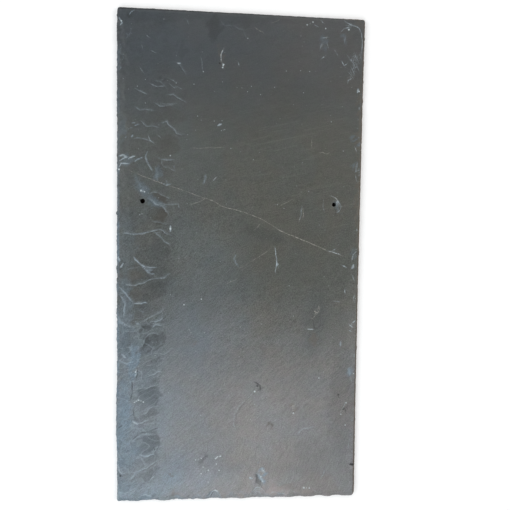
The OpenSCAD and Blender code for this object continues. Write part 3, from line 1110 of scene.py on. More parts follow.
    def _shape_outline(self, verts: Verts) -> None:
        """Round the corners, hollow the right side and roughen all four sides.

        Args:
            verts: The face's vertices.
        """
        x, y = self._round_corners(*spots(verts))
        near = {side: smooth_ramp(gap, self.edge_reach, 0.0)
                for side, gap in edge_gaps(x, y, self.width, self.length).items()}
        near_edge = np.maximum.reduce(list(near.values()))
        jag = Roughcast(71, 9.0, 9.0, 0.0, 3)
        nick = Roughcast(72, 3.2, 3.2, 0.0, 2)
        level = np.zeros_like(x)
        hollow = self.side_hollow * (1.0 - (y / (self.length / 2.0)) ** 2)
        right = hollow - 0.75 + 0.07 * jag.at(level + 3.0, y) + 0.05 * nick.at(level, y)
        bulge = 0.85 * smooth_ramp(np.abs(y + 0.33 * self.length), 50.0, 10.0)
        left = 0.08 * jag.at(level + 40.0, y) + 0.06 * nick.at(level + 20.0, y) - 0.45 - bulge
        head = 0.07 * jag.at(x, level + 60.0) + 0.05 * nick.at(x, level + 30.0) - 0.4
        tail = 0.18 * jag.at(x, level + 80.0) + 0.1 * nick.at(x, level + 50.0) - 1.7
        across = x / self.width + 0.5
        up = y / self.length + 0.5
        for corner in self.corners:
            share = across if corner.side > 0 else 1.0 - across
            share = share * (up if corner.end > 0 else 1.0 - up) * near_edge
            x = x + share * corner.shift[0]
            y = y + share * corner.shift[1]
        x = x - near[Side.RIGHT] * right + near[Side.LEFT] * left
        y = y - near[Side.HEAD] * head + near[Side.TAIL] * tail
        for vert, vert_x, vert_y in zip(verts, x, y):
            vert.co.xy = vert_x, vert_y

    def _round_corners(self, x: Numbers, y: Numbers) -> Pair:
        """Draw the grid's square corners in to their radii.

        Args:
            x: Places across.
            y: Places up.

        Returns:
            The moved places.
        """
        reach = self.corner_reach
        for corner in self.corners:
            u = (x * corner.side - self.width / 2.0 + reach) / reach
            v = (y * corner.end - self.length / 2.0 + reach) / reach
            inside = (u > 0.0) & (v > 0.0)
            core = 1.0 - corner.radius / reach
            angle = np.arctan2(np.maximum(v, 1e-9), np.maximum(u, 1e-9))
            cos = np.cos(angle)
            sin = np.sin(angle)
            flat = 1.0 / np.maximum(cos, sin)
            across = core * (cos + sin)
            ring = across + np.sqrt(np.clip(across ** 2 - (2.0 * core ** 2 - (1.0 - core) ** 2), 0.0, None))
            in_arc = (flat * cos > core) & (flat * sin > core)
            scale = np.where(in_arc, ring / flat, 1.0)
            pull = 1.0 + (scale - 1.0) * np.clip(np.maximum(u, v), 0.0, 1.0) ** 3
            x = np.where(inside, corner.side * (self.width / 2.0 - reach + u * pull * reach), x)
            y = np.where(inside, corner.end * (self.length / 2.0 - reach + v * pull * reach), y)
        return x, y

    def _wall(self, bm: bmesh.types.BMesh, loop: Edges, ragged: bool) -> Edges:
        """Drop a wall from a loop of the face down to the bed.

        Args:
            bm: The mesh.
            loop: The edges to drop the wall from.
            ragged: Whether its laminations stand out unevenly, as they do round the outline.

        Returns:
            The edges at the wall's foot.
        """
        tops = {}
        edges = loop
        for ring in range(1, self.wall_rings + 1):
            made = bmesh.ops.extrude_edge_only(bm, edges=edges)["geom"]
            verts = [item for item in made if isinstance(item, bmesh.types.BMVert)]
            edges = [item for item in made if isinstance(item, bmesh.types.BMEdge) and item.is_boundary]
            share = ring / self.wall_rings
            leans = Roughcast(80 + ring, 4.0, 4.0, 0.0, 2).at(*spots(verts))
            moved = {}
            for vert, lean in zip(verts, leans):
                top = tops.get(self._key(vert), vert.co.z)
                vert.co.z = top * (1.0 - share) + self.low.z * share
                if ragged and ring < self.wall_rings:
                    self._push_out(vert, self.ragged * abs(lean - 0.5))
                moved[self._key(vert)] = top
            tops = moved
        return edges

    @staticmethod
    def _key(vert: bmesh.types.BMVert) -> tuple[float, float]:
        """Return where a vertex lies across and up, rounded so that it can be looked up."""
        return round(vert.co.x, 5), round(vert.co.y, 5)

    def _push_out(self, vert: bmesh.types.BMVert, amount: float) -> None:
        """Move a vertex of the outline outwards, square to its side.

        Args:
            vert: The vertex.
            amount: How far to move it.
        """
        if self.width / 2.0 - abs(vert.co.x) < self.length / 2.0 - abs(vert.co.y):
            vert.co.x += math.copysign(amount, vert.co.x)
        else:
            vert.co.y += math.copysign(amount, vert.co.y)

    @staticmethod
    def _split_loops(edges: Edges) -> list[Edges]:
        """Sort boundary edges into closed loops, the longest first and the rest by x.

        Args:
            edges: Boundary edges of one sheet.

        Returns:
            One list of edges for each loop.
        """
        left = set(edges)
        loops = []
        while left:
            loop = [left.pop()]
            queue = list(loop)
            while queue:
                edge = queue.pop()
                linked = {other for vert in edge.verts for other in vert.link_edges if other in left}
                left -= linked
                queue.extend(linked)
                loop.extend(linked)
            loops.append(loop)
        loops.sort(key=len, reverse=True)
        return [loops[0]] + sorted(loops[1:], key=lambda loop: loop[0].verts[0].co.x)

    def _paint(self, mesh: bpy.types.Mesh) -> None:
        """Store what shows on the face as attributes that the finish reads.

        Args:
            mesh: The finished mesh, in metres.
        """
        places = np.empty(len(mesh.vertices) * 3)
        mesh.vertices.foreach_get("co", places)
        x, y, z = (places.reshape(-1, 3) / MM).T.copy()
        relief = self.relief(x, y)
        masks = {"scar": relief.scars(), "frost": relief.frost(), "smear": relief.smears(),
                 "flaked": relief.flaked(), "darker_tone_and_shadow": relief.patches(SHADES), "veil": relief.patches(VEILS),
                 "sheen": relief.patches(WORN_AND_SHEEN), "rust": relief.patches(STAINS),
                 "blush": relief.patches(BLUSHES)}
        values = {"terrace": relief.terraces()}
        for mark in Mark:
            values[f"{mark.value}_offset"], masks[f"{mark.value}_weight"] = relief.lines(mark)
        steps, masks["fleck_weight"] = relief.flecks()
        bowed = x + self.side_hollow * (1.0 - (y * 2.0 / self.length) ** 2)
        gaps = edge_gaps(bowed, y, self.width, self.length)
        values["rim_gap"] = np.minimum(gaps[Side.RIGHT] + 0.5, gaps[Side.HEAD] + 0.4)
        start, end = self.face_ramp
        on_face = smooth_ramp(z, self.low.z + start, self.low.z + end)
        values["bed"] = 1.0 - on_face
        values.update({name: mask * on_face for name, mask in masks.items()})
        for name, numbers in values.items():
            layer = mesh.attributes.new(name, "FLOAT", "POINT")
            layer.data.foreach_set("value", numbers.astype(np.float32))
        layer = mesh.attributes.new("fleck_step", "FLOAT_VECTOR", "POINT")
        layer.data.foreach_set("vector", steps.astype(np.float32).ravel())


class Signal:
    """A number that runs along a shader link, with the usual arithmetic."""

    def __init__(self, shop: "ShaderShop", socket: Socket) -> None:
        """Keep the tree's builder and the output socket."""
        self.shop = shop
        self.socket = socket

    def _math(self, operation: str, first: "Signal | float", second: "Signal | float") -> "Signal":
        """Return the result of one Math node on two values."""
        node = self.shop.node("ShaderNodeMath", {"operation": operation}, {0: first, 1: second})
        return Signal(self.shop, node.outputs[0])

    def __add__(self, other: "Signal | float") -> "Signal":
        """Return self + other."""
        return self._math("ADD", self, other)

    def __radd__(self, other: float) -> "Signal":
        """Return other + self."""
        return self._math("ADD", other, self)

    def __sub__(self, other: "Signal | float") -> "Signal":
        """Return self - other."""
        return self._math("SUBTRACT", self, other)

    def __rsub__(self, other: float) -> "Signal":
        """Return other - self."""
        return self._math("SUBTRACT", other, self)

    def __mul__(self, other: "Signal | float") -> "Signal":
        """Return self * other."""
        return self._math("MULTIPLY", self, other)

    def __rmul__(self, other: float) -> "Signal":
        """Return other * self."""
        return self._math("MULTIPLY", other, self)

    def __truediv__(self, other: "Signal | float") -> "Signal":
        """Return self / other."""
        return self._math("DIVIDE", self, other)

    def __abs__(self) -> "Signal":
        """Return self without its sign."""
        return self._math("ABSOLUTE", self, 0.0)

    def at_least(self, other: "Signal | float") -> "Signal":
        """Return the larger of self and other."""
        return self._math("MAXIMUM", self, other)

    def ease(self, low: float, high: float) -> "Signal":
        """Ease from 0 at low to 1 at high; high may be below low.

        Args:
            low: Where the ramp starts.
            high: Where the ramp ends.

        Returns:
            The eased value.
        """
        start, end, flipped = (low, high, False) if low < high else (high, low, True)
        node = self.shop.node("ShaderNodeMapRange", {"interpolation_type": "SMOOTHSTEP"},
                              {"Value": self, "From Min": start, "From Max": end})
        eased = Signal(self.shop, node.outputs["Result"])
        return 1.0 - eased if flipped else eased


class ShaderShop:
    """Builds one material's nodes."""

    def __init__(self, name: str) -> None:
        """Start an empty node tree on a new material.

        Args:
            name: The material's name.
        """
        self.material = bpy.data.materials.new(name)
        self.material.use_nodes = True
        self.tree = self.material.node_tree
        self.tree.nodes.clear()

    def node(self, kind: str, settings: dict[str, object],
             sockets: dict[int | str, object]) -> bpy.types.Node:
        """Add a node.

        Args:
            kind: The node's type.
            settings: Its properties, which are set first.
            sockets: Its inputs, by name or number: values, sockets or signals.

        Returns:
            The new node.
        """
        node = self.tree.nodes.new(kind)
        for name, value in settings.items():
            setattr(node, name, value)
        for key, value in sockets.items():
            target = node.inputs[key]
            if isinstance(value, Signal):
                self.tree.links.new(value.socket, target)
            elif isinstance(value, Socket):
                self.tree.links.new(value, target)
            else:
                target.default_value = value
        return node

    def signal(self, node: bpy.types.Node, output: int | str = 0) -> Signal:
        """Return one of a node's outputs as a signal."""
        return Signal(self, node.outputs[output])

    def place(self) -> Socket:
        """Read the place on the object.

        Returns:
            The place, in millimetres.
        """
        source = self.node("ShaderNodeTexCoord", {}, {})
        scaled = self.node("ShaderNodeVectorMath", {"operation": "SCALE"},
                           {0: source.outputs["Object"], "Scale": 1.0 / MM})
        return scaled.outputs[0]

    def turned(self, place: Socket, degrees: float,
               stretch: Triple) -> Socket:
        """Turn a place about Z, then scale it along each axis.

        Args:
            place: The place.
            degrees: How far to turn it.
            stretch: What each axis is multiplied by after the turn.

        Returns:
            The changed place.
        """
        turn = self.node("ShaderNodeVectorRotate", {"rotation_type": "Z_AXIS"},
                         {"Vector": place, "Angle": math.radians(degrees)})
        scaled = self.node("ShaderNodeVectorMath", {"operation": "MULTIPLY"},
                           {0: turn.outputs[0], 1: stretch})
        return scaled.outputs[0]

    def noise(self, place: Socket, size: float, detail: float = 2.0,
              roughness: float = 0.5, distortion: float = 0.0) -> Signal:
        """Return cloudy noise, about 0 to 1.

        Args:
            place: Where to read it.
            size: Distance between its clouds.
            detail: How many finer layers it has.
            roughness: How strong the finer layers are.
            distortion: How much it swirls.

        Returns:
            The noise.
        """
        node = self.node("ShaderNodeTexNoise", {},
                         {"Vector": place, "Scale": 1.0 / size, "Detail": detail,
                          "Roughness": roughness, "Distortion": distortion})
        return self.signal(node, "Fac")

    def specks(self, place: Socket, size: float) -> tuple[Signal, Socket]:
        """Return scattered points.

        Args:
            place: Where to read them.
            size: Distance between neighbouring points.

        Returns:
            The distance to the nearest point, in units of size, and that point's own colour.
        """
        node = self.node("ShaderNodeTexVoronoi", {"feature": "F1"}, {"Vector": place, "Scale": 1.0 / size})
        return self.signal(node, "Distance"), node.outputs["Color"]

    def attribute(self, name: str) -> Signal:
        """Return a number stored on the mesh."""
        node = self.node("ShaderNodeAttribute", {"attribute_name": name}, {})
        return self.signal(node, "Fac")

    def split(self, vector: Socket) -> tuple[Signal, Signal, Signal]:
        """Return a vector's three numbers."""
        node = self.node("ShaderNodeSeparateXYZ", {}, {0: vector})
        return self.signal(node, 0), self.signal(node, 1), self.signal(node, 2)

    def mix(self, share: Signal | float, first: object, second: object, blend: str = "MIX") -> Socket:
        """Mix two colours.

        Args:
            share: How much of the second is taken, 0 to 1.
            first: The first colour, or a socket.
            second: The second colour, or a socket.
            blend: How they are blended.

        Returns:
            The mixed colour.
        """
        node = self.node("ShaderNodeMix", {"data_type": "RGBA", "blend_type": blend, "clamp_factor": True},
                         {0: share, 6: self._paint(first), 7: self._paint(second)})
        return node.outputs[2]

    def brighten(self, colour: Socket, factor: Signal) -> Socket:
        """Multiply a colour by a number."""
        node = self.node("ShaderNodeVectorMath", {"operation": "SCALE"}, {0: colour, "Scale": factor})
        return node.outputs[0]

    @staticmethod
    def _paint(colour: object) -> object:
        """Give a plain colour its alpha, and pass a socket on."""
        return (*colour, 1.0) if isinstance(colour, tuple) else colour


# Half the width, in millimetres, that each kind of line is drawn with, and how far it wavers.
PENS = {Mark.RIM: (0.8, 1.3), Mark.SCORE: (0.55, 0.7), Mark.CRACK: (0.9, 0.9), Mark.GRAZE: (0.75, 0.8)}


def midway(first: Colour, second: Colour) -> Colour:
    """Return the colour halfway between two."""
    return tuple((a + b) / 2.0 for a, b in zip(first, second))


@dataclass(frozen=True)
class RivenStone:
    """The finish of split slate: satin blue-grey stone with a grain that runs up to the right.

    Attributes:
        sheltered_left: Colour of the covered part, towards the left.
        sheltered_right: Colour of the covered part, towards the right.
        head_left: Colour at the head's left corner.
        head_right: Colour at the head's right corner.
        weathered_and_sheen_left: Colour of the exposed tail, towards the left; lighter and bluer partly from
            weathering and partly as painted sheen.
        weathered_and_sheen_right: Colour of the exposed tail, towards the right; lighter partly from
            weathering and partly as painted sheen.
        pale: Colour of broken grains.
        cream: Colour of scratches.
        frost: Colour of a fresh flake's floor.
        deep: Colour of cracks and pits.
        brown: Colour of rusty stains.
        pink: Colour of thin washed rust.
        film: Colour of bruised stone.
        edge_shade: Colour of the painted shade along the edge of the right side and the head.
        broad_tints: Both ends of the stone's broad changes of hue, warm and cool.
        fine_tints: Both ends of its small changes of hue, green and violet.
        veil_tint: What the cool film does to the stone's colour.
        low_grain: Direction of the grain near the tail, in degrees from X.
        high_grain: Direction of the grain near the head.
        tail_grain: Direction of the grain at the tail, right of the middle.
        roughness: Roughness of the worn face.
    """

    sheltered_left: Colour = (0.073, 0.081, 0.079)
    sheltered_right: Colour = (0.068, 0.0705, 0.062)
    head_left: Colour = (0.046, 0.055, 0.062)
    head_right: Colour = (0.060, 0.0615, 0.061)
    weathered_and_sheen_left: Colour = (0.150, 0.185, 0.215)
    weathered_and_sheen_right: Colour = (0.172, 0.172, 0.174)
    pale: Colour = (0.46, 0.52, 0.54)
    cream: Colour = (0.42, 0.405, 0.365)
    frost: Colour = (0.140, 0.207, 0.268)
    # deep: Colour of cracks and pits, painted as the shade inside them, and part of the painted shade along
    # the edge.
    deep: Colour = (0.014, 0.015, 0.016)
    brown: Colour = (0.105, 0.085, 0.065)
    pink: Colour = (0.275, 0.225, 0.215)
    film: Colour = (0.27, 0.345, 0.41)
    edge_shade: Colour = (0.062, 0.041, 0.022)
    broad_tints: tuple[Colour, Colour] = ((1.02, 0.995, 0.97), (0.975, 1.005, 1.02))
    fine_tints: tuple[Colour, Colour] = ((0.985, 1.012, 0.985), (1.015, 0.988, 1.015))
    veil_tint: Colour = (0.93, 1.01, 1.12)
    low_grain: float = 42.0
    high_grain: float = 16.0
    tail_grain: float = 70.0
    roughness: float = 0.5

    def dress(self, piece: bpy.types.Object, width: float, length: float) -> None:
        """Put the finish on a piece.

        Args:
            piece: The sheet.
            width: Its width, in millimetres.
            length: Its length, in millimetres.
        """
        shader = StoneShader(self, width, length)
        shader.finish()
        piece.data.materials.append(shader.shop.material)


class StoneShader:
    """The nodes of the finish, laid over one sheet from the broad colour to the finest marks."""

    def __init__(self, stone: RivenStone, width: float, length: float) -> None:
        """Make the signals that several layers share.

        Args:
            stone: The finish's colours and grain.
            width: Width of the sheet, in millimetres.
            length: Length of the sheet, in millimetres.
        """
        self.stone = stone
        self.shop = ShaderShop("riven_slate")
        self.place = self.shop.place()
        x, y, _ = self.shop.split(self.place)
        self.across = x / width + 0.5
        self.up = y / length + 0.5
        self.lower = (self.up + (self.across - 0.5) * 0.35).ease(0.62, 0.42)
        self.steep = self.up.ease(0.2, 0.1) * self.across.ease(0.36, 0.52)
        self.clouds = self.shop.noise(self.place, 60.0, 3.0, 0.55)
        self.mottle = self._grained(7.0, 0.45, 4.0)
        self.streaks = self._grained(1.3, 0.22, 3.0)
        self.grit = self.shop.noise(self.place, 1.0, 2.0, 0.7)
        self.ragged = self.shop.noise(self.place, 1.6, 2.0, 0.7) - 0.5
        self.broken = self.shop.noise(self.place, 2.2, 3.0, 0.75).ease(0.4, 0.6)
        self.edge_colour = midway(stone.frost, stone.pale)

    def finish(self) -> None:
        """Lay the marks over the weathered stone and join the shader up."""
        stone, shop = self.stone, self.shop
        rim, score, crack, graze = (self._line(mark) for mark in Mark)
        light, dark = self._flecks()
        terrace = self._terraces()
        colour = self._flaked_edges(self._weathered_and_painted_light(), rim, terrace)
        colour = self._crumbs_and_edge_shade(self._smeared(colour))
        for share, paint in ((score * (0.15 + self.broken * 0.75), stone.cream),
                             (graze * (0.3 + self.broken * 0.6), midway(stone.film, stone.pale)),
                             (crack * 0.85, stone.deep), (light, stone.pale), (dark, stone.deep),
                             (self._sparkle() * 0.3, stone.pale)):
            colour = shop.mix(share, colour, paint)
        side = shop.attribute("bed")
        laminations = shop.noise(shop.turned(self.place, 0.0, (0.08, 0.08, 2.5)), 1.0, 3.0, 0.6)
        colour = shop.mix(side * 0.45, colour, shop.mix(laminations, stone.sheltered_left, stone.frost))
        surface = (self.mottle * 0.5 + self.streaks * 0.22 + self.grit * 0.2 - crack * 0.5 - score * 0.15
                   - dark * 0.5 + laminations * side * 0.5 + terrace * 0.15)
        bump = shop.node("ShaderNodeBump", {}, {"Strength": 0.65, "Distance": 0.35 * MM, "Height": surface})
        gloss = (stone.roughness + (self.grit - 0.5) * 0.2 + (self.mottle - 0.5) * 0.12 + side * 0.2
                 + score * 0.1)
        shader = shop.node("ShaderNodeBsdfPrincipled", {}, {
            "Base Color": colour, "Roughness": gloss, "Normal": bump.outputs["Normal"],
            "IOR": 1.5, "Specular IOR Level": 0.4})
        shop.node("ShaderNodeOutputMaterial", {}, {"Surface": shader.outputs[0]})

    def _grained(self, size: float, stretch: float, detail: float) -> Signal:
        """Make noise drawn out along the grain, which turns from the tail to the head.

        Args:
            size: Distance between streaks, across the grain.
            stretch: That distance over the one along the grain.
            detail: How many finer layers it has.

        Returns:
            The noise.
        """
        layers = []
        for angle in (self.stone.tail_grain, self.stone.low_grain, self.stone.high_grain):
            drawn = self.shop.turned(self.place, -angle, (stretch, 1.0, 1.0))
            layers.append(self.shop.noise(drawn, size, detail, 0.6, 0.3))
        tail, low, high = layers
        climbing = tail * self.steep + low * (1.0 - self.steep)
        return climbing * self.lower + high * (1.0 - self.lower)

    def _broad_colour(self) -> Socket:
        """Make the stone's broad colour, darker at the head and lighter and bluer at the tail, partly
        weathering and partly painted sheen.

        Returns:
            The colour.
        """
        stone, shop, up = self.stone, self.shop, self.up
        drift = (self.clouds - 0.5) * 0.25
        side = self.across + drift
        sheltered = shop.mix(side.ease(0.0, 0.7), stone.sheltered_left, stone.sheltered_right)
        head = shop.mix(side.ease(0.1, 1.0), stone.head_left, stone.head_right)
        weathered_and_sheen = shop.mix(side.ease(0.0, 0.5), stone.weathered_and_sheen_left, stone.weathered_and_sheen_right)
        colour = shop.mix((up + drift * 0.4).ease(0.7, 0.95), sheltered, head)
        # The tail's lighter, bluer colour is partly weathering and partly painted sheen.
        colour = shop.mix((up + drift * 0.3).ease(0.5, 0.14), colour, weathered_and_sheen)
        for hue, tints in ((shop.noise(self.place, 34.0, 1.5, 0.45, 0.5), stone.broad_tints),
                           (shop.noise(self.place, 7.0, 3.0, 0.65, 0.3), stone.fine_tints)):
            colour = shop.mix(1.0, colour, shop.mix(hue.ease(0.35, 0.65), *tints), "MULTIPLY")
        veiled = shop.mix(1.0, colour, stone.veil_tint, "MULTIPLY")
        return shop.mix(shop.attribute("veil") * 0.85, colour, veiled)

    def _texture(self) -> Signal:
        """Work out how the stone's fine structure lightens or darkens it.

        Returns:
            What the colour is multiplied by, about 1.
        """
        shop, up = self.shop, self.up
        scratches = shop.noise(shop.turned(self.place, -13.0, (0.035, 1.0, 1.0)), 1.5, 1.0, 0.5, 0.4)
        scratches = scratches.ease(0.58, 0.74) * up.ease(0.5, 0.6) * up.ease(0.9, 0.72)
        scratches = scratches * self.across.ease(0.3, 0.6)
        patchy = shop.noise(self.place, 4.5, 3.0, 0.6, 0.8) - 0.5
        flaked = shop.attribute("flaked")
        middle = up.ease(0.25, 0.45) * up.ease(0.8, 0.6)
        grittiness = 0.68 + up.ease(0.85, 0.5) * 1.12 - up.ease(0.38, 0.2) * 0.4 + middle * 0.3
        texture = (1.0 + (self.mottle - 0.5) * (0.26 + 0.06 * middle) + scratches * 0.22
                   + (self.streaks - 0.5) * (0.3 + 0.45 * self.lower + 0.12 * middle)
                   + (self.grit - 0.5) * grittiness + (self.clouds - 0.5) * 0.12 + patchy * flaked * 0.45)
        # The sheen attribute lightens the colour: partly wear, partly painted sheen.
        return texture * (1.0 + shop.attribute("sheen") * 0.2) * (1.0 - flaked * 0.1)

    def _weathered_and_painted_light(self) -> Socket:
        """Lay darker patches, partly darker stone and partly painted shadow, then rust, scars and fresh
        flakes over the broad colour.

        Returns:
            The colour.
        """
        stone, shop, mottle = self.stone, self.shop, self.mottle
        texture = self._texture()
        # Darker patches: partly darker stone, partly painted shadow.
        darker_tone_and_shadow = shop.attribute("darker_tone_and_shadow") * (0.4 + mottle * 0.5)
        colour = shop.brighten(self._broad_colour(), texture * (1.0 - darker_tone_and_shadow))
        colour = shop.mix(shop.attribute("rust") * (0.35 + mottle * 0.6), colour, stone.brown)
        colour = shop.mix(shop.attribute("blush") * (0.2 + mottle * 0.5), colour, stone.pink)
        scar = shop.attribute("scar")
        colour = shop.brighten(colour, 1.0 - scar * (0.22 + mottle * 0.36))
        colour = shop.mix(scar * self.up.ease(0.5, 0.62) * 0.2, colour, stone.brown)
        frost = shop.attribute("frost") * (0.5 + mottle * 0.5)
        floor = shop.brighten(shop.mix(0.0, stone.frost, stone.frost), texture)
        return shop.mix(frost * 0.75, colour, floor)

    def _flaked_edges(self, colour: Socket, rim: Signal, terrace: Signal) -> Socket:
        """Lay the pale edges of flakes over a colour: pale fresh stone with a painted highlight on one side
        of each rim, and a painted shadow below it.

        Args:
            colour: The colour.
            rim: How strongly the rims show.
            terrace: How strongly the edges of laminations show.

        Returns:
            The changed colour.
        """
        shop = self.shop
        gap = shop.attribute("rim_offset")
        weight = shop.attribute("rim_weight")
        # Painted highlight on the upper side of each rim.
        halo = gap.ease(-0.4, 0.2) * gap.ease(2.8, 0.4) * weight
        edges = halo * 0.16 + terrace * self.up.ease(0.44, 0.32) * 0.2
        colour = shop.mix(edges, colour, self.edge_colour)
        shadow = gap.ease(0.2, -0.4) * gap.ease(-2.4, -0.9) * weight
        colour = shop.brighten(colour, 1.0 - shadow * 0.2)
        # The rims themselves: partly pale fresh stone, partly painted highlight.
        return shop.mix(rim * (0.12 + self.broken * 0.42), colour, self.edge_colour)

    def _smeared(self, colour: Socket) -> Socket:
        """Lay the pale streaks over a colour.

        Args:
            colour: The colour.

        Returns:
            The changed colour.
        """
        shop = self.shop
        cover = shop.attribute("smear")
        smear = (cover + (self.mottle - 0.5) * 0.3 + self.ragged * 0.5).ease(0.12, 0.75)
        smear = smear * cover.ease(0.03, 0.2)
        whiteness = cover.ease(0.4, 0.85) * self.grit.ease(0.25, 0.6)
        return shop.mix(smear * 0.5, colour, shop.mix(whiteness, self.stone.film, self.stone.pale))

    def _crumbs_and_edge_shade(self, colour: Socket) -> Socket:
        """Lay the crumbs, and the painted shade along the edge of the right side and the head, over a
        colour.

        Args:
            colour: The colour.

        Returns:
            The changed colour.
        """
        shop = self.shop
        gap = shop.attribute("rim_gap") + self.ragged * 1.2
        crumbs = shop.noise(self.place, 4.5, 3.0, 0.7).ease(0.61, 0.69)
        crumbs = crumbs * gap.ease(8.0, 3.0) * self.across.ease(0.9, 0.95)
        colour = shop.mix(crumbs * 0.4, colour, self.edge_colour)
        # Painted shade: a dark line along the edge of the right side and the head.
        painted_edge_shade = shop.mix(self.across.ease(0.85, 0.97), self.stone.deep, self.stone.edge_shade)
        return shop.mix(gap.ease(2.0, 0.7) * 0.75, colour, painted_edge_shade)

    def _line(self, mark: Mark) -> Signal:
        """Draw one kind of line.

        Args:
            mark: Which kind.

        Returns:
            How strongly it shows.
        """
        width, waver = PENS[mark]
        gap = abs(self.shop.attribute(f"{mark.value}_offset") + self.ragged * waver)
        return gap.ease(width, width * 0.2) * self.shop.attribute(f"{mark.value}_weight")

    def _terraces(self) -> Signal:
        """Draw thin pale lines where laminations crop out, strongest in the flaked margin.

        Returns:
            How strongly they show.
        """
        level = self.shop.attribute("terrace") + self.ragged * 0.12
        share = self.shop.signal(self.shop.node("ShaderNodeMath", {"operation": "FRACT"}, {0: level}))
        edge = share.ease(0.8, 0.9) * share.ease(1.0, 0.94)
        return edge * (0.12 + self.shop.attribute("flaked") * 0.88)

    def _flecks(self) -> tuple[Signal, Signal]:
        """Draw the flecks that were placed one by one.

        Returns:
            How strongly the pale grains show, and how strongly the dark pits do, as painted shade.
        """
        step = self.shop.node("ShaderNodeAttribute", {"attribute_name": "fleck_step"}, {})
        size = self.shop.node("ShaderNodeVectorMath", {"operation": "LENGTH"}, {0: step.outputs["Vector"]})
        spot = (self.shop.signal(size, "Value") + self.ragged * 0.9).ease(1.2, 0.3)
        weight = self.shop.attribute("fleck_weight")
        return spot * weight.at_least(0.0), spot * (0.0 - weight).at_least(0.0)

    def _sparkle(self) -> Signal:
        """Scatter fine grains of mica at random.

        Returns:
            How strongly they show.
        """
        gap, colour = self.shop.specks(self.place, 5.0)
        size, chance, _ = self.shop.split(colour)
        return gap.ease(0.13, 0.05) * chance.ease(0.45, 0.95) * (0.3 + size * 0.7)


@dataclass(frozen=True)
class PaleFloor:
    """The plain pale floor that the slate lies on.

    Attributes:
        size: Its width and length, in metres.
        colour: Its colour.
        hole_shade_pad: Half the width and half the length of the dark patch that the slate hides, painted
            shade seen only down the nail holes.
        hole_shade: Colour of that painted shade.
        gap: How far the floor lies under the lowest point of the bed, in metres.
    """

    size: float = 6.0
    colour: Colour = (0.92, 0.92, 0.92)
    hole_shade_pad: tuple[float, float] = (112.0, 120.0)
    hole_shade: Colour = (0.014, 0.009, 0.006)
    gap: float = 0.0003

    def build(self) -> bpy.types.Object:
        """Lay the floor.

        Returns:
            The floor.
        """
        bm = bmesh.new()
        bmesh.ops.create_grid(bm, x_segments=4, y_segments=4, size=self.size / 2.0)
        mesh = bpy.data.meshes.new("floor")
        bm.to_mesh(mesh)
        bm.free()
        floor = bpy.data.objects.new("floor", mesh)
        floor.location.z = -self.gap
        bpy.context.scene.collection.objects.link(floor)
        shop = ShaderShop("pale_floor")
        x, y, _ = shop.split(shop.place())
        # Painted shade: a near-black patch under the slate, seen only down the nail holes.
        under = abs(x).ease(self.hole_shade_pad[0], self.hole_shade_pad[0] - 1.0) * abs(y).ease(self.hole_shade_pad[1], self.hole_shade_pad[1] - 1.0)
        shader = shop.node("ShaderNodeBsdfDiffuse", {}, {"Color": shop.mix(under, self.colour, self.hole_shade)})
        shop.node("ShaderNodeOutputMaterial", {}, {"Surface": shader.outputs[0]})
        mesh.materials.append(shop.material)
        return floor


@dataclass(frozen=True)
class SoftBox:
    """One soft studio light.

    Attributes:
        name: What it is for.
        place: Where it hangs, in metres.
        size: Its width and length, in metres.
        power: Its power, in watts.
        colour: Its colour.
    """

    name: str
    place: Triple
    size: float
    power: float
    colour: Colour

    def hang(self) -> None:
        """Hang the light, aimed at the middle of the slate."""
        data = bpy.data.lights.new(self.name, "AREA")
        data.shape = "SQUARE"
        data.size = self.size
        data.energy = self.power
        data.color = self.colour
        lamp = bpy.data.objects.new(self.name, data)
        lamp.location = self.place
        lamp.rotation_euler = (-Vector(self.place)).to_track_quat("-Z", "Y").to_euler()
        bpy.context.scene.collection.objects.link(lamp)


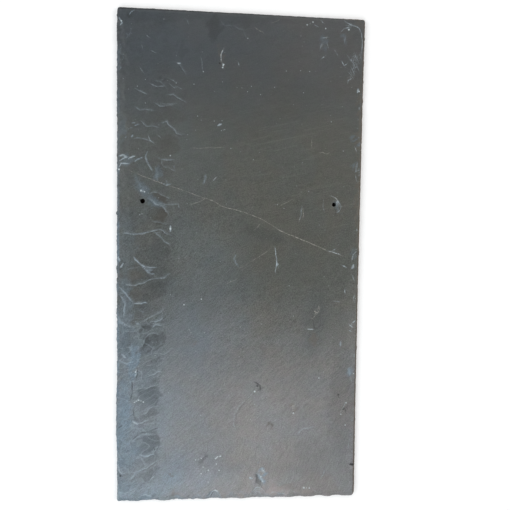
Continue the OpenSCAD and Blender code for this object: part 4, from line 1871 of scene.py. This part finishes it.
@dataclass(frozen=True)
class Studio:
    """The lights, the backdrop's glow and the camera.

    Attributes:
        boxes: The soft lights.
        glow: Brightness of the surroundings.
        focal: Focal length, as a share of the image's width.
        tilt: Turns of the slate before the lens about X, Y and Z, in degrees.
        offset: Where the middle of the face lies before the lens, in millimetres.
    """

    boxes: tuple[SoftBox, ...] = (
        SoftBox("tail_softbox", (-0.35, -1.0, 1.15), 1.1, 12.0, (0.95, 0.98, 1.0)),
        SoftBox("right_softbox", (1.25, 0.1, 0.95), 1.1, 10.0, (1.0, 0.98, 0.95)),
        SoftBox("left_softbox", (-1.25, 0.2, 0.95), 1.1, 10.0, (0.96, 0.98, 1.0)),
        SoftBox("head_softbox", (0.1, 1.3, 0.85), 1.1, 7.0, (1.0, 1.0, 1.0)),
    )
    glow: float = 0.3
    focal: float = 500.0 / 510.0
    tilt: Triple = (2.88, 4.65, -0.60)
    offset: Triple = (-15.2, -6.6, -524.3)

    def light(self) -> None:
        """Hang the lights and set the glow and the film's response."""
        for box in self.boxes:
            box.hang()
        scene = bpy.context.scene
        world = bpy.data.worlds.new("studio")
        world.use_nodes = True
        background = world.node_tree.nodes["Background"]
        background.inputs["Color"].default_value = (1.0, 1.0, 1.0, 1.0)
        background.inputs["Strength"].default_value = self.glow
        scene.world = world
        scene.view_settings.view_transform = "Standard"

    def aim(self, face: float) -> None:
        """Set up the camera over the slate.

        Args:
            face: Height of the face above the bed, in millimetres.
        """
        data = bpy.data.cameras.new("camera")
        data.sensor_width = 36.0
        data.lens = data.sensor_width * self.focal
        data.clip_start = 0.01
        camera = bpy.data.objects.new("camera", data)
        about_x, about_y, about_z = (math.radians(angle) for angle in self.tilt)
        turn = (Matrix.Rotation(about_z, 3, "Z") @ Matrix.Rotation(about_y, 3, "Y")
                @ Matrix.Rotation(about_x, 3, "X"))
        back = turn.transposed()
        place = back @ -Vector(self.offset) + Vector((0.0, 0.0, face))
        camera.matrix_world = Matrix.Translation(place * MM) @ back.to_4x4()
        bpy.context.scene.collection.objects.link(camera)
        bpy.context.scene.camera = camera


# How each nail hole's mouth has broken: its radius, its depth and how far it lies off the axis.
MOUTHS = {"nail_hole_left": (4.2, 0.5, 0.3), "nail_hole_right": (6.5, 1.3, 1.6)}


def nail_holes() -> tuple[NailHole, ...]:
    """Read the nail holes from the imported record.

    Returns:
        The left hole, then the right one.
    """
    holes = []
    for mount in frame["record"]["mounts"]:
        if mount["name"] in MOUTHS:
            x, y, _ = mount["pos_m"]
            holes.append(NailHole(x / MM, y / MM, mount["dims"]["r_mm"], *MOUTHS[mount["name"]]))
    return tuple(sorted(holes, key=lambda hole: hole.x))


def main() -> None:
    """Build the slate, its finish and the studio, in order."""
    logging.basicConfig(level=logging.INFO, format="%(name)s: %(message)s")
    low, high = (Vector(corner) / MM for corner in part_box(NODE))
    sheet = SlateSheet(low, high, nail_holes())
    slate = sheet.build()
    RivenStone().dress(slate, sheet.width, sheet.length)
    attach(slate, BODY)
    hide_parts(NODE)
    log.info("%s: %d vertices, %d faces", slate.name, len(slate.data.vertices), len(slate.data.polygons))
    floor = PaleFloor().build()
    studio = Studio()
    studio.light()
    studio.aim(high.z)
    log.info("floor, lights and camera set")


if __name__ == "__main__":
    main()
